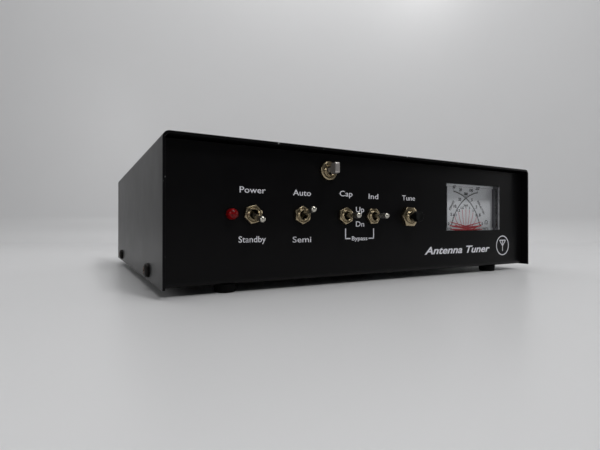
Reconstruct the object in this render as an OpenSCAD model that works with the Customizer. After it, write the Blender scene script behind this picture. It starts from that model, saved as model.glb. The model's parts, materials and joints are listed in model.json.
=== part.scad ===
// Automatic antenna tuner: folded steel case, control panel with toggle switches,
// cross-needle meter, tuner board and rear sockets.
// Millimetres. +X to the right seen from the front, +Y from the front to the back, +Z up.
// The origin is the middle of the bounding box at the bottom of the feet.

/* [Case] */
// Width across the cover
cover_w = 247; // [235:1:300]
// Depth of the cover, front edge to rear edge
cover_d = 205; // [195:1:260]
// Height of the cover, without the feet
cover_h = 66; // [66:1:85]
// Thickness of the folded sheet
sheet_t = 1.2; // [1:0.1:1.5]
// How far the front and rear panels sit inside the cover's edges
panel_recess = 4.5; // [3:0.5:8]
// Outer radius of the folds
fold_r = 3; // [2:0.5:4]
// Gap between the cover's sides and the chassis
case_gap = 0.3; // [0.2:0.1:0.5]
// Gap between the cover's top and the panels' top edges
top_gap = 1.1; // [0.6:0.1:2]
// Height of the chassis side flanges
flange_h = 11; // [10:0.5:16]
// Distance of the side screws from the cover's front and rear edges
side_screw_inset = 38; // [25:1:60]
// Height of the side screws above the cover's lower edge
side_screw_z = 5; // [4.5:0.1:6]

/* [Feet] */
// Diameter of a foot
foot_d = 10.6; // [8:0.1:14]
// Height of a foot
foot_h = 4; // [2.5:0.1:8]
// Distance of the feet from the cover's sides
foot_inset_x = 30; // [15:1:45]
// Distance of the feet from the cover's front and rear edges
foot_inset_y = 11; // [11:0.5:30]

/* [Panel controls] */
// Height of the row of controls above the cover's lower edge
row_z = 32; // [30:0.5:38]
// Place of the power switch from the middle of the panel
power_x = -82.4; // [-84:0.1:-80]
// Pitch from one control to the next
control_pitch = 26.2; // [25:0.1:27]
// Pitch from the inductor switch to the tune button
button_pitch = 26.9; // [25:0.1:28]
// Pitch between the capacitor and inductor switches
pair_pitch = 18.2; // [17:0.1:19]
// Distance of the lamp to the left of the power switch
lamp_offset = 10.3; // [9.5:0.1:11]
// Height of the selector switch above the cover's lower edge
selector_z = 55; // [52:0.1:55.5]
// Place of the selector switch from the middle of the panel
selector_x = -40.7; // [-46:0.1:-36]

/* [Toggle switches] */
// Diameter of the threaded bushing
bushing_d = 6.3; // [6:0.1:6.6]
// Length of the threaded bushing
bushing_l = 8.9; // [8.5:0.1:11]
// How far the bushing stands out of the panel
bushing_out = 3; // [2.6:0.1:3.4]
// Width across the flats of the panel nut
nut_af = 8; // [8:0.1:9]
// Thickness of the panel nut
nut_t = 2; // [1.6:0.1:2.2]
// Diameter of the selector's round nut
round_nut_d = 9.7; // [9:0.1:11]
// Distance of the lever's tip from the panel when it points straight out
lever_out = 13.4; // [12:0.1:16]
// Diameter of the lever's rounded tip
lever_tip_d = 3; // [2.6:0.1:3.4]
// Diameter of the lever's pivot ball
pivot_ball_d = 3.8; // [3.2:0.1:4]
// Angle of the lever from straight out
lever_tilt = 11; // [8:0.5:12]
// Width of the switch body
switch_body_w = 6.8; // [6.6:0.1:7.4]
// Length of the switch body along the throw
switch_body_l = 12.8; // [12:0.1:14]
// Depth of the switch body
switch_body_d = 9.4; // [8:0.1:11]

/* [Tune button] */
// Diameter of the button's cap
button_d = 6.1; // [5:0.1:7]
// Diameter of the button's stem
button_stem_d = 3; // [2.6:0.1:3.4]
// Distance of the cap's face from the panel at rest
button_out = 9; // [8.6:0.1:11]
// Travel of the button
button_travel = 2; // [1:0.1:2]
// Diameter of the button's bushing
button_bushing_d = 7; // [6.6:0.1:8]
// Width across the flats of the button's nut
button_nut_af = 10.7; // [10:0.1:12]

/* [Lamp] */
// Diameter of the lamp's lens
lamp_d = 5; // [3:0.5:5]
// How far the lens stands out of the panel
lamp_out = 4.6; // [3:0.1:7]

/* [Meter] */
// Width of the meter's window in the panel
window_w = 51.8; // [50:0.1:56]
// Height of the meter's window in the panel
window_h = 29.4; // [28:0.1:31]
// Place of the window's centre from the middle of the panel
window_x = 72.1; // [66:0.1:80]
// Height of the window's centre above the cover's lower edge
window_z = 38.6; // [37:0.1:41]
// Depth of the dial's face behind the panel's face
dial_depth = 7; // [6.8:0.1:9]
// Distance of the needle pivots from the dial's centre line
needle_pivot_x = 15.85; // [14:0.05:17]
// Height of the needle pivots above the cover's lower edge
needle_pivot_z = 18.7; // [18:0.1:21]
// Length of a needle from its pivot
needle_l = 30.6; // [28:0.1:31]
// Angle of a needle above level at rest
needle_rest = 16.5; // [14:0.5:20]
// Depth of the meter's housing behind the panel
housing_d = 30; // [28:1:36]

/* [Rear panel] */
// Outer diameter of a radio socket's thread
socket_thread_d = 15.875; // [15.5:0.005:16]
// Length of a radio socket's threaded barrel
socket_barrel_l = 12.5; // [11:0.1:16]
// Width of a radio socket's square flange
socket_flange_w = 25.4; // [25:0.1:27]
// Spacing of a radio socket's flange screws
socket_screw_pitch = 18.26; // [17.5:0.01:18.5]
// Place of the antenna socket from the middle
antenna_socket_x = -80; // [-86:1:-72]
// Place of the transceiver socket from the middle
radio_socket_x = -40; // [-44:1:-34]
// Height of the rear sockets above the cover's lower edge
rear_row_z = 34; // [31:1:38]
// Place of the power inlet from the middle
inlet_x = 84; // [76:1:90]
// Place of the ground terminal from the middle
ground_x = 44; // [36:1:56]
// Diameter of the ground stud
stud_d = 4; // [4:0.5:5]
// How far the ground stud stands out of the rear panel
stud_out = 16; // [15:0.5:17]
// Rise of the ground stud's thread per turn
stud_pitch = 0.7; // [0.5:0.05:0.8]

/* [Board] */
// Width of the tuner board
board_w = 196; // [190:1:205]
// Depth of the tuner board
board_d = 138; // [136:1:142]
// Thickness of the tuner board
board_t = 1.6; // [1.4:0.1:2]
// Height of the board's standoffs
standoff_h = 8; // [6:0.5:9]
// Distance of the board's front edge from the cover's front edge
board_front = 49; // [48:0.5:52]

/* [Hidden] */
$fn = 48;

// Every separate piece, by name

// Clearances between pieces that fit each other
running_gap = 0.05;
screw_gap = 0.05;
plate_gap = 0.2;
moving_gap = 0.3;

// Side screws
side_screw_d = 3.4;
side_head_d = 7;
side_head_h = 2.3;
side_screw_l = 8;

// Levels and depths of the case, from the front edge of the cover
front_y = panel_recess;
front_in = front_y + sheet_t;
rear_y = cover_d - panel_recess;
rear_in = rear_y - sheet_t;
chassis_w = cover_w - 2 * (sheet_t + case_gap);
panel_h = cover_h - sheet_t - top_gap;

// Reach of the levers and of the ground stud past the cover's edges
front_reach = lever_out - panel_recess;
rear_reach = stud_out - panel_recess;
origin_y = -(front_reach + cover_d + rear_reach) / 2 + front_reach;

// Places of the controls
auto_x = power_x + control_pitch;
capacitor_x = auto_x + control_pitch;
inductor_x = capacitor_x + pair_pitch;
tune_x = inductor_x + button_pitch;
lamp_x = power_x - lamp_offset;
toggle_xs = [power_x, auto_x, capacitor_x, inductor_x];
nut_turns = [15, 30, 24, 4];

// Depths of a toggle switch, from the panel's face
bushing_back = bushing_l - bushing_out;
pivot_depth = 1.1;
lever_reach = lever_out + pivot_depth;
lever_hole_d = pivot_ball_d + 2 * moving_gap;
switch_plate_t = 0.8;
lever_tail_d = 1.8;
lever_tail = bushing_back + switch_plate_t + 1.6 - pivot_depth;
stem_d = 2.2;
paddle_t = 2.4;
paddle_w = 5.2;
paddle_l = 6;
terminal_pitch = 4.7;
terminal_w = 2;
terminal_t = 0.8;
terminal_l = 4.5;

// Depths of the tune button, from the panel's face
button_bushing_out = 3.6;
button_bushing_back = 5;
button_body_w = 10;
button_body_l = 12.6;
button_body_d = 12;
button_cap_l = button_out - button_bushing_out - button_travel - moving_gap;
button_plate_in = button_bushing_back + switch_plate_t;
button_pocket_d = 6;
button_pocket_l = 10;
collar_d = 5.2;
collar_t = 1;
collar_gap = 0.1;
button_tail = 2;
spring_wire_d = 0.4;
spring_d = 4.2;
spring_turns = 5;
spring_sides = 8;
spring_steps = 14;
button_nut_t = 2.2;

// Lamp
lamp_flange_d = lamp_d + 1;
lamp_flange_t = 1;

// Meter
rim_t = 1.5;
window_wall = 1.5;
window_proud = 0.2;
window_gap = 0.2;
housing_w = window_w + 6;
housing_top = window_z + window_h / 2 + 3;
housing_low = needle_pivot_z - 11.2;
housing_h = housing_top - housing_low;
housing_mid = (housing_top + housing_low) / 2;
housing_y = sheet_t + rim_t;
housing_wall = 1.5;
dial_t = 0.6;
dial_gap = 0.7;
needle_t = 0.25;
needle_w = 0.5;
hub_d = 2.4;
staff_d = 1.2;
staff_end = 16;
magnet_d = 18;
magnet_bore = 13.2;
magnet_y = dial_depth + 3.2;
magnet_l = 8;
core_post_d = 8.4;
coil_r = 5.4;
coil_w = 3;
coil_t = 1.4;
forward_y = dial_depth - 2.8;
reflected_y = dial_depth - 1.5;

// Rear fittings
socket_flange_t = 2.4;
socket_bore_d = 12.4;
socket_boss_d = 14.6;
socket_boss_l = 4.2;
insulator_d = socket_bore_d - 2 * screw_gap;
contact_d = 5.4;
contact_bore_d = 4.1;
contact_reach = 10.6;
cup_d = 4;
cup_l = 8;
socket_hole_d = 3.4;
socket_screw_d = 3;
socket_xs = [antenna_socket_x, radio_socket_x];
inlet_thread_d = 8;
inlet_out = 5;
inlet_bore_d = 5.8;
inlet_pin_d = 2.1;
inlet_depth = 9;
ground_nut_t = 3.2;
ground_nut_af = stud_d + 3;
washer_t = 0.8;
wing_hub_d = stud_d + 4;
wing_hub_l = 4.5;
wing_span = 22;
wing_h = 7;
wing_t = 1.6;
ground_z = 14;
washer_gap = 0.15;
wing_out = ground_nut_t + 2 * washer_gap + washer_t;
stud_relief = 0.6;
stud_neck_l = wing_out + wing_hub_l + 0.3;

// Board
floor_top = sheet_t;
board_z = floor_top + standoff_h;
board_top = board_z + board_t;
board_hole_inset = 6;
standoff_af = 5.5;
m3_d = 2.5;

// Places on the board: x from its middle, y from its front edge
relay_xs = [for (i = [-3.5:3.5]) i * 23];
relay_rows = [30, 96];
core_xs = [for (i = [-1.5:1.5]) i * 37.5];
core_y = 63;
chip_x = -52;
chip_y = 10;
crystal_x = -24;
crystal_y = 9;
regulator_x = 82;
regulator_y = 8;
coil_x = 86;
coil_ys = [50, 63, 76];
capacitor_xs = [for (i = [0:7]) -12 + i * 13];
capacitor_y = 118;
coupler_xs = [-70, -50];
coupler_y = 121;
filter_xs = [44, 54.5, 65];
filter_y = 9;
trimmer_xs = [-37, -28.5, -20];
trimmer_y = 121;
header_x = 20;
header_y = 5;

// Inductors and couplers
core_d = 27;
core_bore = 14.6;
core_h = 11;
turn_r = 6.9;
winding_d = 1;
core_mean_r = (core_d + core_bore) / 4;
core_lift = turn_r + winding_d / 2 + 0.1;
coupler_d = 12.7;
coupler_bore = 7.1;
coupler_h = 4.8;
coupler_turn_r = 3.2;
coupler_wire_d = 0.6;
coupler_lift = 6.4;

// Ends of the harness wires: the terminals of the lamp, switches and meter, from left to right
plug_h = 9;
terminal_depth = bushing_back + switch_plate_t + switch_body_d + terminal_l;
button_terminal_depth = button_plate_in + button_body_d + terminal_l;
lamp_lead_depth = 14;
meter_stud_depth = sheet_t + housing_d + 6;
meter_stud_xs = [window_x - 12, window_x + 12];
wire_d = 1.2;
wire_gap = 0.4;
wire_ends = [
    [lamp_x, row_z, lamp_lead_depth],
    [power_x, row_z, terminal_depth],
    [auto_x, row_z, terminal_depth],
    [selector_x, selector_z, terminal_depth],
    [capacitor_x, row_z, terminal_depth],
    [inductor_x, row_z, terminal_depth],
    [tune_x, row_z, button_terminal_depth],
    [meter_stud_xs[0], window_z, meter_stud_depth],
    [meter_stud_xs[1], window_z, meter_stud_depth]
];

// ---- Shared shapes ----------------------------------------------------------------------

// Puts a child drawn from the cover's front edge and lower edge into the part's own frame
module place() {
    translate([0, origin_y, foot_h]) children();
}

// Turns a shape drawn along +Z so that it leaves the front panel at a given place
module on_front(x, z, out = 0) {
    translate([x, front_y - out, z]) rotate([90, 0, 0]) children();
}

// Turns a shape drawn along +Z so that it leaves the rear panel at a given place
module on_rear(x, z, out = 0) {
    translate([x, rear_y + out, z]) rotate([-90, 0, 0]) children();
}

// Block with its two lower corners rounded
module rounded_foot_2d(span, rise, r) {
    translate([-span / 2, r]) square([span, rise - r]);
    translate([-span / 2 + r, 0]) square([span - 2 * r, rise]);
    for (side = [-1, 1]) translate([side * (span / 2 - r), r]) circle(r);
}

// Section of a sheet folded up at both ends
module folded_2d(span, rise, t, r) {
    difference() {
        rounded_foot_2d(span, rise, r);
        translate([0, t]) rounded_foot_2d(span - 2 * t, rise, r - t);
    }
}

// Rectangle with round corners
module rounded_2d(w, h, r) {
    square([w - 2 * r, h], center = true);
    square([w, h - 2 * r], center = true);
    for (sx = [-1, 1], sy = [-1, 1]) translate([sx * (w / 2 - r), sy * (h / 2 - r)]) circle(r);
}

// Hexagonal nut on the XY plane with chamfered corners and a plain bore
module hex_nut(af, t, bore_d) {
    corner_d = af / cos(30);
    chamfer = (corner_d - af) / 2 * 0.8;
    difference() {
        intersection() {
            cylinder(h = t, d = corner_d, $fn = 6);
            rotate_extrude() polygon([
                [0, 0], [corner_d / 2, 0], [corner_d / 2, t - chamfer * 0.7],
                [corner_d / 2 - chamfer, t], [0, t]
            ]);
        }
        translate([0, 0, -1]) cylinder(h = t + 2, d = bore_d);
    }
}

// Pan head on the XY plane with a cross recess, and its shank below
module pan_screw(head_d, head_h, shank_d, shank_l) {
    slot_w = head_d * 0.16;
    slot_l = head_d * 0.55;
    difference() {
        union() {
            rotate_extrude() polygon(concat(
                [[0, 0], [head_d / 2, 0]],
                [for (a = [0:15:90]) [head_d * (0.3 + 0.2 * cos(a)), head_h * (0.35 + 0.65 * sin(a))]],
                [[0, head_h]]
            ));
            translate([0, 0, -shank_l]) cylinder(h = shank_l + 0.2, d = shank_d);
        }
        for (a = [0, 90]) rotate([0, 0, a]) translate([-slot_l / 2, -slot_w / 2, head_h * 0.35])
            cube([slot_l, slot_w, head_h]);
    }
}

// Points of a ring around a route's point, square to the route's direction
function unit(v) = v / norm(v);
function side_of(d) = unit(cross(d, abs(d[2]) > 0.9 ? [1, 0, 0] : [0, 0, 1]));
function heading(route, i) =
    let (a = route[max(i - 1, 0)], b = route[min(i + 1, len(route) - 1)]) unit(b - a);
function ring(route, i, r, sides) =
    let (d = heading(route, i), s = side_of(d), u = cross(s, d))
    [for (k = [0:sides - 1]) route[i] + r * (cos(360 * k / sides) * s + sin(360 * k / sides) * u)];

// Round wire swept along a route, closed at both ends
module swept_wire(route, d, sides = 8) {
    n = len(route);
    points = [for (i = [0:n - 1]) each ring(route, i, d / 2, sides)];
    walls = [for (i = [0:n - 2], k = [0:sides - 1]) [
        i * sides + k, i * sides + (k + 1) % sides,
        (i + 1) * sides + (k + 1) % sides, (i + 1) * sides + k
    ]];
    low = [[for (k = [sides - 1:-1:0]) k]];
    high = [[for (k = [0:sides - 1]) (n - 1) * sides + k]];
    polyhedron(points = points, faces = concat(low, walls, high), convexity = 6);
}

// Smooth route from one point to another that leaves and arrives along given directions
function eased(a, da, b, db, steps) = [for (i = [0:steps])
    let (t = i / steps, u = 1 - t)
    u * u * u * a + 3 * u * u * t * (a + da) + 3 * u * t * t * (b + db) + t * t * t * b];

// Toroid winding: round turns spaced evenly about a ring that lies flat
module ring_winding(mean_r, turn_r, wire_d, turns, gap_angle = 30) {
    for (i = [0:turns - 1]) rotate([0, 0, gap_angle / 2 + i * (360 - gap_angle) / (turns - 1)])
        translate([mean_r, 0, 0]) rotate([90, 0, 0])
            rotate_extrude($fn = 24) translate([turn_r, 0]) circle(d = wire_d, $fn = 16);
}

// Ring core with a square section, lying flat about the origin
module ring_core(outer_d, bore_d, h) {
    translate([0, 0, -h / 2]) difference() {
        cylinder(h = h, d = outer_d);
        translate([0, 0, -1]) cylinder(h = h + 2, d = bore_d);
    }
}

// ---- Case --------------------------------------------------------------------------------

module side_screw_places() {
    for (side = [-1, 1], y = [side_screw_inset, cover_d - side_screw_inset])
        translate([side * cover_w / 2, y, side_screw_z]) rotate([0, side * 90, 0]) children();
}

module cover() {
    color([0.05, 0.05, 0.055]) place() difference() {
        translate([0, 0, cover_h]) rotate([-90, 0, 0]) linear_extrude(cover_d)
            folded_2d(cover_w, cover_h, sheet_t, fold_r);
        side_screw_places() translate([0, 0, -sheet_t - case_gap])
            cylinder(h = sheet_t + case_gap + 1, d = side_screw_d + 2 * plate_gap);
    }
}

module chassis_blank() {
    strip = fold_r + 0.01;
    flange_y = front_in + 3;
    flange_l = rear_in - 3 - flange_y;
    difference() {
        translate([-chassis_w / 2, (front_y + rear_y) / 2, 0]) rotate([90, 0, 90])
            linear_extrude(chassis_w) folded_2d(rear_y - front_y, panel_h, sheet_t, fold_r);
        for (side = [-1, 1]) translate([side * (chassis_w / 2 - strip / 2), 0, 0])
            translate([-strip / 2, flange_y - 1, -1]) cube([strip, flange_l + 2, fold_r + 1]);
    }
    translate([0, flange_y + flange_l, 0]) rotate([90, 0, 0]) linear_extrude(flange_l)
        folded_2d(chassis_w, flange_h, sheet_t, fold_r);
}

module panel_hole(x, z, d) {
    on_front(x, z, 1) translate([0, 0, -sheet_t - 2]) cylinder(h = sheet_t + 3, d = d);
}

module rear_hole(x, z, d) {
    on_rear(x, z, 1) translate([0, 0, -sheet_t - 2]) cylinder(h = sheet_t + 3, d = d);
}

module chassis() {
    color([0.06, 0.06, 0.065]) place() difference() {
        chassis_blank();
        for (x = toggle_xs) panel_hole(x, row_z, bushing_d + 2 * screw_gap);
        panel_hole(selector_x, selector_z, bushing_d + 2 * screw_gap);
        panel_hole(tune_x, row_z, button_bushing_d + 2 * screw_gap);
        panel_hole(lamp_x, row_z, lamp_d + 2 * screw_gap);
        on_front(window_x, window_z, 1) translate([0, 0, -sheet_t - 2])
            linear_extrude(sheet_t + 3) rounded_2d(window_w, window_h, 0.6);
        for (x = socket_xs) {
            rear_hole(x, rear_row_z, socket_boss_d + 2 * plate_gap);
            for (sx = [-1, 1], sz = [-1, 1])
                rear_hole(x + sx * socket_screw_pitch / 2, rear_row_z + sz * socket_screw_pitch / 2,
                    socket_hole_d);
        }
        rear_hole(inlet_x, rear_row_z, inlet_thread_d + 2 * plate_gap);
        rear_hole(ground_x, ground_z, stud_d + 2 * plate_gap);
        side_screw_places() translate([0, 0, -sheet_t * 2 - case_gap - 2])
            cylinder(h = sheet_t * 2 + case_gap + 3, d = side_screw_d + 2 * screw_gap);
        board_hole_places() translate([0, 0, -1]) cylinder(h = sheet_t + 2, d = m3_d + 2 * plate_gap);
    }
}

module cover_screws() {
    color([0.12, 0.11, 0.1]) place() side_screw_places()
        pan_screw(side_head_d, side_head_h, side_screw_d, side_screw_l);
}

module rubber_feet() {
    color([0.04, 0.04, 0.04]) place()
        for (sx = [-1, 1], y = [foot_inset_y, cover_d - foot_inset_y])
            translate([sx * (cover_w / 2 - foot_inset_x), y, -foot_h])
                rotate_extrude() polygon([
                    [0, 0], [foot_d / 2 - 1.2, 0], [foot_d / 2 - 0.7, 0.2], [foot_d / 2 - 0.4, 0.8],
                    [foot_d / 2, foot_h], [0, foot_h]
                ]);
}

// ---- Board and its components --------------------------------------------------------------

module board_hole_places() {
    inset_x = board_w / 2 - board_hole_inset;
    for (x = [-inset_x, 0, inset_x], y = [board_hole_inset, board_d - board_hole_inset])
        translate([x, board_front + y, 0]) children();
}

// Puts a child on the board's upper face
module on_board(x, y) {
    translate([x, board_front + y, board_top]) children();
}

// Box with round upright corners, standing on the XY plane
module block(w, d, h, r = 0.6) {
    linear_extrude(h) rounded_2d(w, d, r);
}

module main_board() {
    color([0.1, 0.3, 0.16]) place() difference() {
        translate([0, board_front + board_d / 2, board_z]) linear_extrude(board_t)
            rounded_2d(board_w, board_d, 1.5);
        board_hole_places() translate([0, 0, board_z - 1]) cylinder(h = board_t + 2, d = m3_d + 2 * plate_gap);
    }
}

module board_standoffs() {
    color([0.75, 0.75, 0.77]) place() board_hole_places() translate([0, 0, floor_top]) difference() {
        cylinder(h = standoff_h, d = standoff_af / cos(30), $fn = 6);
        translate([0, 0, -1]) cylinder(h = standoff_h + 2, d = m3_d + 2 * screw_gap);
    }
}

module board_screws() {
    color([0.78, 0.78, 0.8]) place() board_hole_places() translate([0, 0, board_top])
        pan_screw(5.5, 1.9, m3_d, board_t + standoff_h * 0.4);
}

module standoff_screws() {
    color([0.78, 0.78, 0.8]) place() board_hole_places() rotate([180, 0, 0])
        pan_screw(5.5, 1.9, m3_d, sheet_t + standoff_h * 0.4);
}

module relays() {
    color([0.07, 0.07, 0.08]) place() for (x = relay_xs, y = relay_rows)
        on_board(x, y) block(15.5, 19, 15.2, 0.8);
}

module inductor_cores() {
    color([0.62, 0.1, 0.08]) place() for (x = core_xs)
        on_board(x, core_y) translate([0, 0, core_lift]) ring_core(core_d, core_bore, core_h);
}

module inductor_windings() {
    color([0.72, 0.4, 0.2]) place() for (i = [0:len(core_xs) - 1])
        on_board(core_xs[i], core_y) translate([0, 0, core_lift])
            ring_winding(core_mean_r, turn_r, winding_d, 10 + 2 * i);
}

module air_coils() {
    color([0.72, 0.4, 0.2]) place() for (y = coil_ys) on_board(coil_x, y)
        for (k = [0:4]) translate([-4 + k * 2, 0, 5]) rotate([0, 90, 0])
            rotate_extrude() translate([4.2, 0]) circle(d = 1.2, $fn = 16);
}

module tuning_capacitors() {
    color([0.62, 0.32, 0.1]) place() for (x = capacitor_xs)
        on_board(x, capacitor_y) block(4.5, 12, 10, 1.2);
}

module controller_socket() {
    color([0.08, 0.08, 0.08]) place() on_board(chip_x, chip_y) difference() {
        block(36, 10, 4, 0.4);
        translate([0, 0, 1.2]) linear_extrude(4) square([30, 3.4], center = true);
    }
}

module controller_chip() {
    color([0.06, 0.06, 0.06]) place() on_board(chip_x, chip_y) translate([0, 0, 4]) difference() {
        block(35, 7.2, 3.4, 0.3);
        translate([-17.5, 0, 2.4]) cylinder(h = 2, d = 2.4);
    }
}

module crystal() {
    color([0.8, 0.8, 0.8]) place() on_board(crystal_x, crystal_y) block(11, 4.6, 12, 2.2);
}

module voltage_regulator() {
    color([0.1, 0.1, 0.1]) place() on_board(regulator_x, regulator_y) translate([0, 0, 3])
        block(10.2, 4.6, 14.5, 0.3);
}

module regulator_heatsink() {
    color([0.6, 0.6, 0.62]) place() on_board(regulator_x, regulator_y) translate([0, 2.4, 0]) {
        translate([-12, 0, 0]) cube([24, 2, 22]);
        for (i = [0:5]) translate([-12 + i * 4.5, 2, 0]) cube([1.5, 6, 22]);
    }
}

module coupler_cores() {
    color([0.25, 0.25, 0.27]) place() for (x = coupler_xs) on_board(x, coupler_y)
        translate([0, 0, coupler_lift]) ring_core(coupler_d, coupler_bore, coupler_h);
}

module coupler_windings() {
    color([0.72, 0.4, 0.2]) place() for (x = coupler_xs) on_board(x, coupler_y)
        translate([0, 0, coupler_lift])
            ring_winding((coupler_d + coupler_bore) / 4, coupler_turn_r, coupler_wire_d, 12);
}

module filter_capacitors() {
    color([0.12, 0.14, 0.3]) place() for (x = filter_xs) on_board(x, filter_y) cylinder(h = 12.5, d = 8);
}

module trimmers() {
    color([0.15, 0.3, 0.65]) place() for (x = trimmer_xs) on_board(x, trimmer_y) difference() {
        block(6.6, 6.8, 4.8, 0.3);
        translate([0, 0, 4]) cylinder(h = 2, d = 3);
    }
}

module panel_header() {
    color([0.07, 0.07, 0.07]) place() on_board(header_x, header_y) difference() {
        block(26, 6, 8, 0.3);
        translate([0, 0, 1]) linear_extrude(8) square([24, 4], center = true);
    }
}

module panel_plug() {
    color([0.8, 0.78, 0.72]) place() on_board(header_x, header_y) translate([0, 0, 1])
        block(23.8, 3.8, plug_h, 0.3);
}

module panel_harness() {
    color([0.5, 0.5, 0.52]) place() for (i = [0:len(wire_ends) - 1]) {
        end = wire_ends[i];
        from = [header_x + (i - 4) * 2.4, board_front + header_y, board_top + 1 + plug_h + wire_gap];
        to = [end[0], front_y + end[2] + wire_gap, end[1]];
        swept_wire(eased(from, [0, 0, 14], to, [0, 14, 0], 14), wire_d);
    }
}

module rear_leads() {
    color([0.75, 0.2, 0.12]) place() {
        for (x = socket_xs) swept_wire(eased(
            [x, rear_y - socket_boss_l - 1 - cup_l - wire_gap, rear_row_z], [0, -7, 0],
            [x + 12, board_front + board_d - 8, board_top + wire_gap], [0, 0, 14], 12), 1.6);
        for (side = [-1, 1]) swept_wire(eased(
            [inlet_x + side * 2, rear_y - inlet_depth - 3 - wire_gap, rear_row_z], [0, -4, 0],
            [inlet_x - 4 + side * 3, board_front + board_d - 8, board_top + wire_gap], [0, 0, 14], 12), 1.4);
    }
}

// ---- Rear panel ----------------------------------------------------------------------------

module socket_corners(x) {
    for (sx = [-1, 1], sz = [-1, 1])
        on_rear(x + sx * socket_screw_pitch / 2, rear_row_z + sz * socket_screw_pitch / 2) children();
}

module rf_socket_bodies() {
    color([0.8, 0.8, 0.82]) place() for (x = socket_xs) difference() {
        on_rear(x, rear_row_z) difference() {
            union() {
                linear_extrude(socket_flange_t) rounded_2d(socket_flange_w, socket_flange_w, 1);
                cylinder(h = socket_flange_t + socket_barrel_l, d = socket_thread_d);
                translate([0, 0, -socket_boss_l]) cylinder(h = socket_boss_l, d = socket_boss_d);
            }
            translate([0, 0, -1]) cylinder(h = socket_flange_t + socket_barrel_l + 2, d = socket_bore_d);
            translate([0, 0, -socket_boss_l - 1]) cylinder(h = socket_boss_l, d = socket_bore_d - 2);
        }
        socket_corners(x) translate([0, 0, -1]) cylinder(h = socket_flange_t + 2, d = socket_hole_d);
    }
}

module rf_socket_insulators() {
    color([0.93, 0.92, 0.88]) place() for (x = socket_xs) on_rear(x, rear_row_z) difference() {
        union() {
            translate([0, 0, -1]) cylinder(h = 5, d = insulator_d);
            translate([0, 0, -socket_boss_l - 1]) cylinder(h = socket_boss_l + 0.5, d = insulator_d - 2);
        }
        translate([0, 0, -socket_boss_l - 2]) cylinder(h = socket_boss_l + 8, d = contact_d + 2 * screw_gap);
    }
}

module rf_socket_contacts() {
    contact_top = socket_flange_t + socket_barrel_l - 1.2;
    color([0.85, 0.72, 0.4]) place() for (x = socket_xs) on_rear(x, rear_row_z) difference() {
        union() {
            translate([0, 0, -socket_boss_l - 1]) cylinder(h = contact_top + socket_boss_l + 1, d = contact_d);
            translate([0, 0, -socket_boss_l - 1 - cup_l]) cylinder(h = cup_l + 1, d = cup_d);
        }
        translate([0, 0, contact_top - contact_reach]) cylinder(h = contact_reach + 1, d = contact_bore_d);
        for (a = [0, 90]) rotate([0, 0, a]) translate([-contact_d, -0.3, contact_top - contact_reach + 3.5])
            cube([2 * contact_d, 0.6, contact_reach]);
    }
}

module rf_socket_screws() {
    color([0.8, 0.8, 0.82]) place() for (x = socket_xs) socket_corners(x)
        translate([0, 0, socket_flange_t]) pan_screw(5.5, 1.9, socket_screw_d, socket_flange_t + sheet_t + 3.2);
}

module rf_socket_nuts() {
    color([0.8, 0.8, 0.82]) place() for (x = socket_xs) socket_corners(x)
        translate([0, 0, -sheet_t]) mirror([0, 0, 1]) hex_nut(5.5, 2.4, socket_screw_d + 2 * screw_gap);
}

module power_inlet() {
    color([0.08, 0.08, 0.08]) place() on_rear(inlet_x, rear_row_z) difference() {
        union() {
            translate([0, 0, -inlet_depth - 3]) cylinder(h = inlet_depth + 3 - sheet_t, d = inlet_thread_d + 3);
            translate([0, 0, -sheet_t - 1]) cylinder(h = sheet_t + 1 + inlet_out, d = inlet_thread_d);
        }
        translate([0, 0, inlet_out - inlet_depth]) cylinder(h = inlet_depth + 1, d = inlet_bore_d);
        translate([0, 0, -inlet_depth - 1]) cylinder(h = inlet_depth, d = inlet_pin_d + 2 * screw_gap);
    }
}

module power_inlet_pin() {
    color([0.82, 0.82, 0.84]) place() on_rear(inlet_x, rear_row_z) {
        translate([0, 0, -inlet_depth]) cylinder(h = inlet_depth + inlet_out - 1, d = inlet_pin_d);
        translate([0, 0, inlet_out - 1]) sphere(d = inlet_pin_d);
    }
}

module power_inlet_nut() {
    color([0.8, 0.8, 0.82]) place() on_rear(inlet_x, rear_row_z)
        rotate([0, 0, 12]) hex_nut(inlet_thread_d + 3, 2, inlet_thread_d + 2 * screw_gap);
}

module ground_stud() {
    color([0.8, 0.8, 0.82]) place() {
        on_rear(ground_x, ground_z, -sheet_t) mirror([0, 0, 1])
            pan_screw(stud_d * 2, stud_d * 0.65, stud_d - stud_relief, sheet_t + stud_neck_l);
        on_rear(ground_x, ground_z, stud_neck_l) cylinder(h = stud_out - stud_neck_l, d = stud_d);
    }
}

module ground_nuts() {
    color([0.8, 0.8, 0.82]) place() on_rear(ground_x, ground_z)
        rotate([0, 0, 20]) hex_nut(ground_nut_af, ground_nut_t, stud_d + 2 * screw_gap);
}

module ground_washer() {
    color([0.8, 0.8, 0.82]) place() on_rear(ground_x, ground_z, ground_nut_t + washer_gap) difference() {
        cylinder(h = washer_t, d = stud_d * 2.25);
        translate([0, 0, -1]) cylinder(h = washer_t + 2, d = stud_d + 2 * plate_gap);
    }
}

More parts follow.
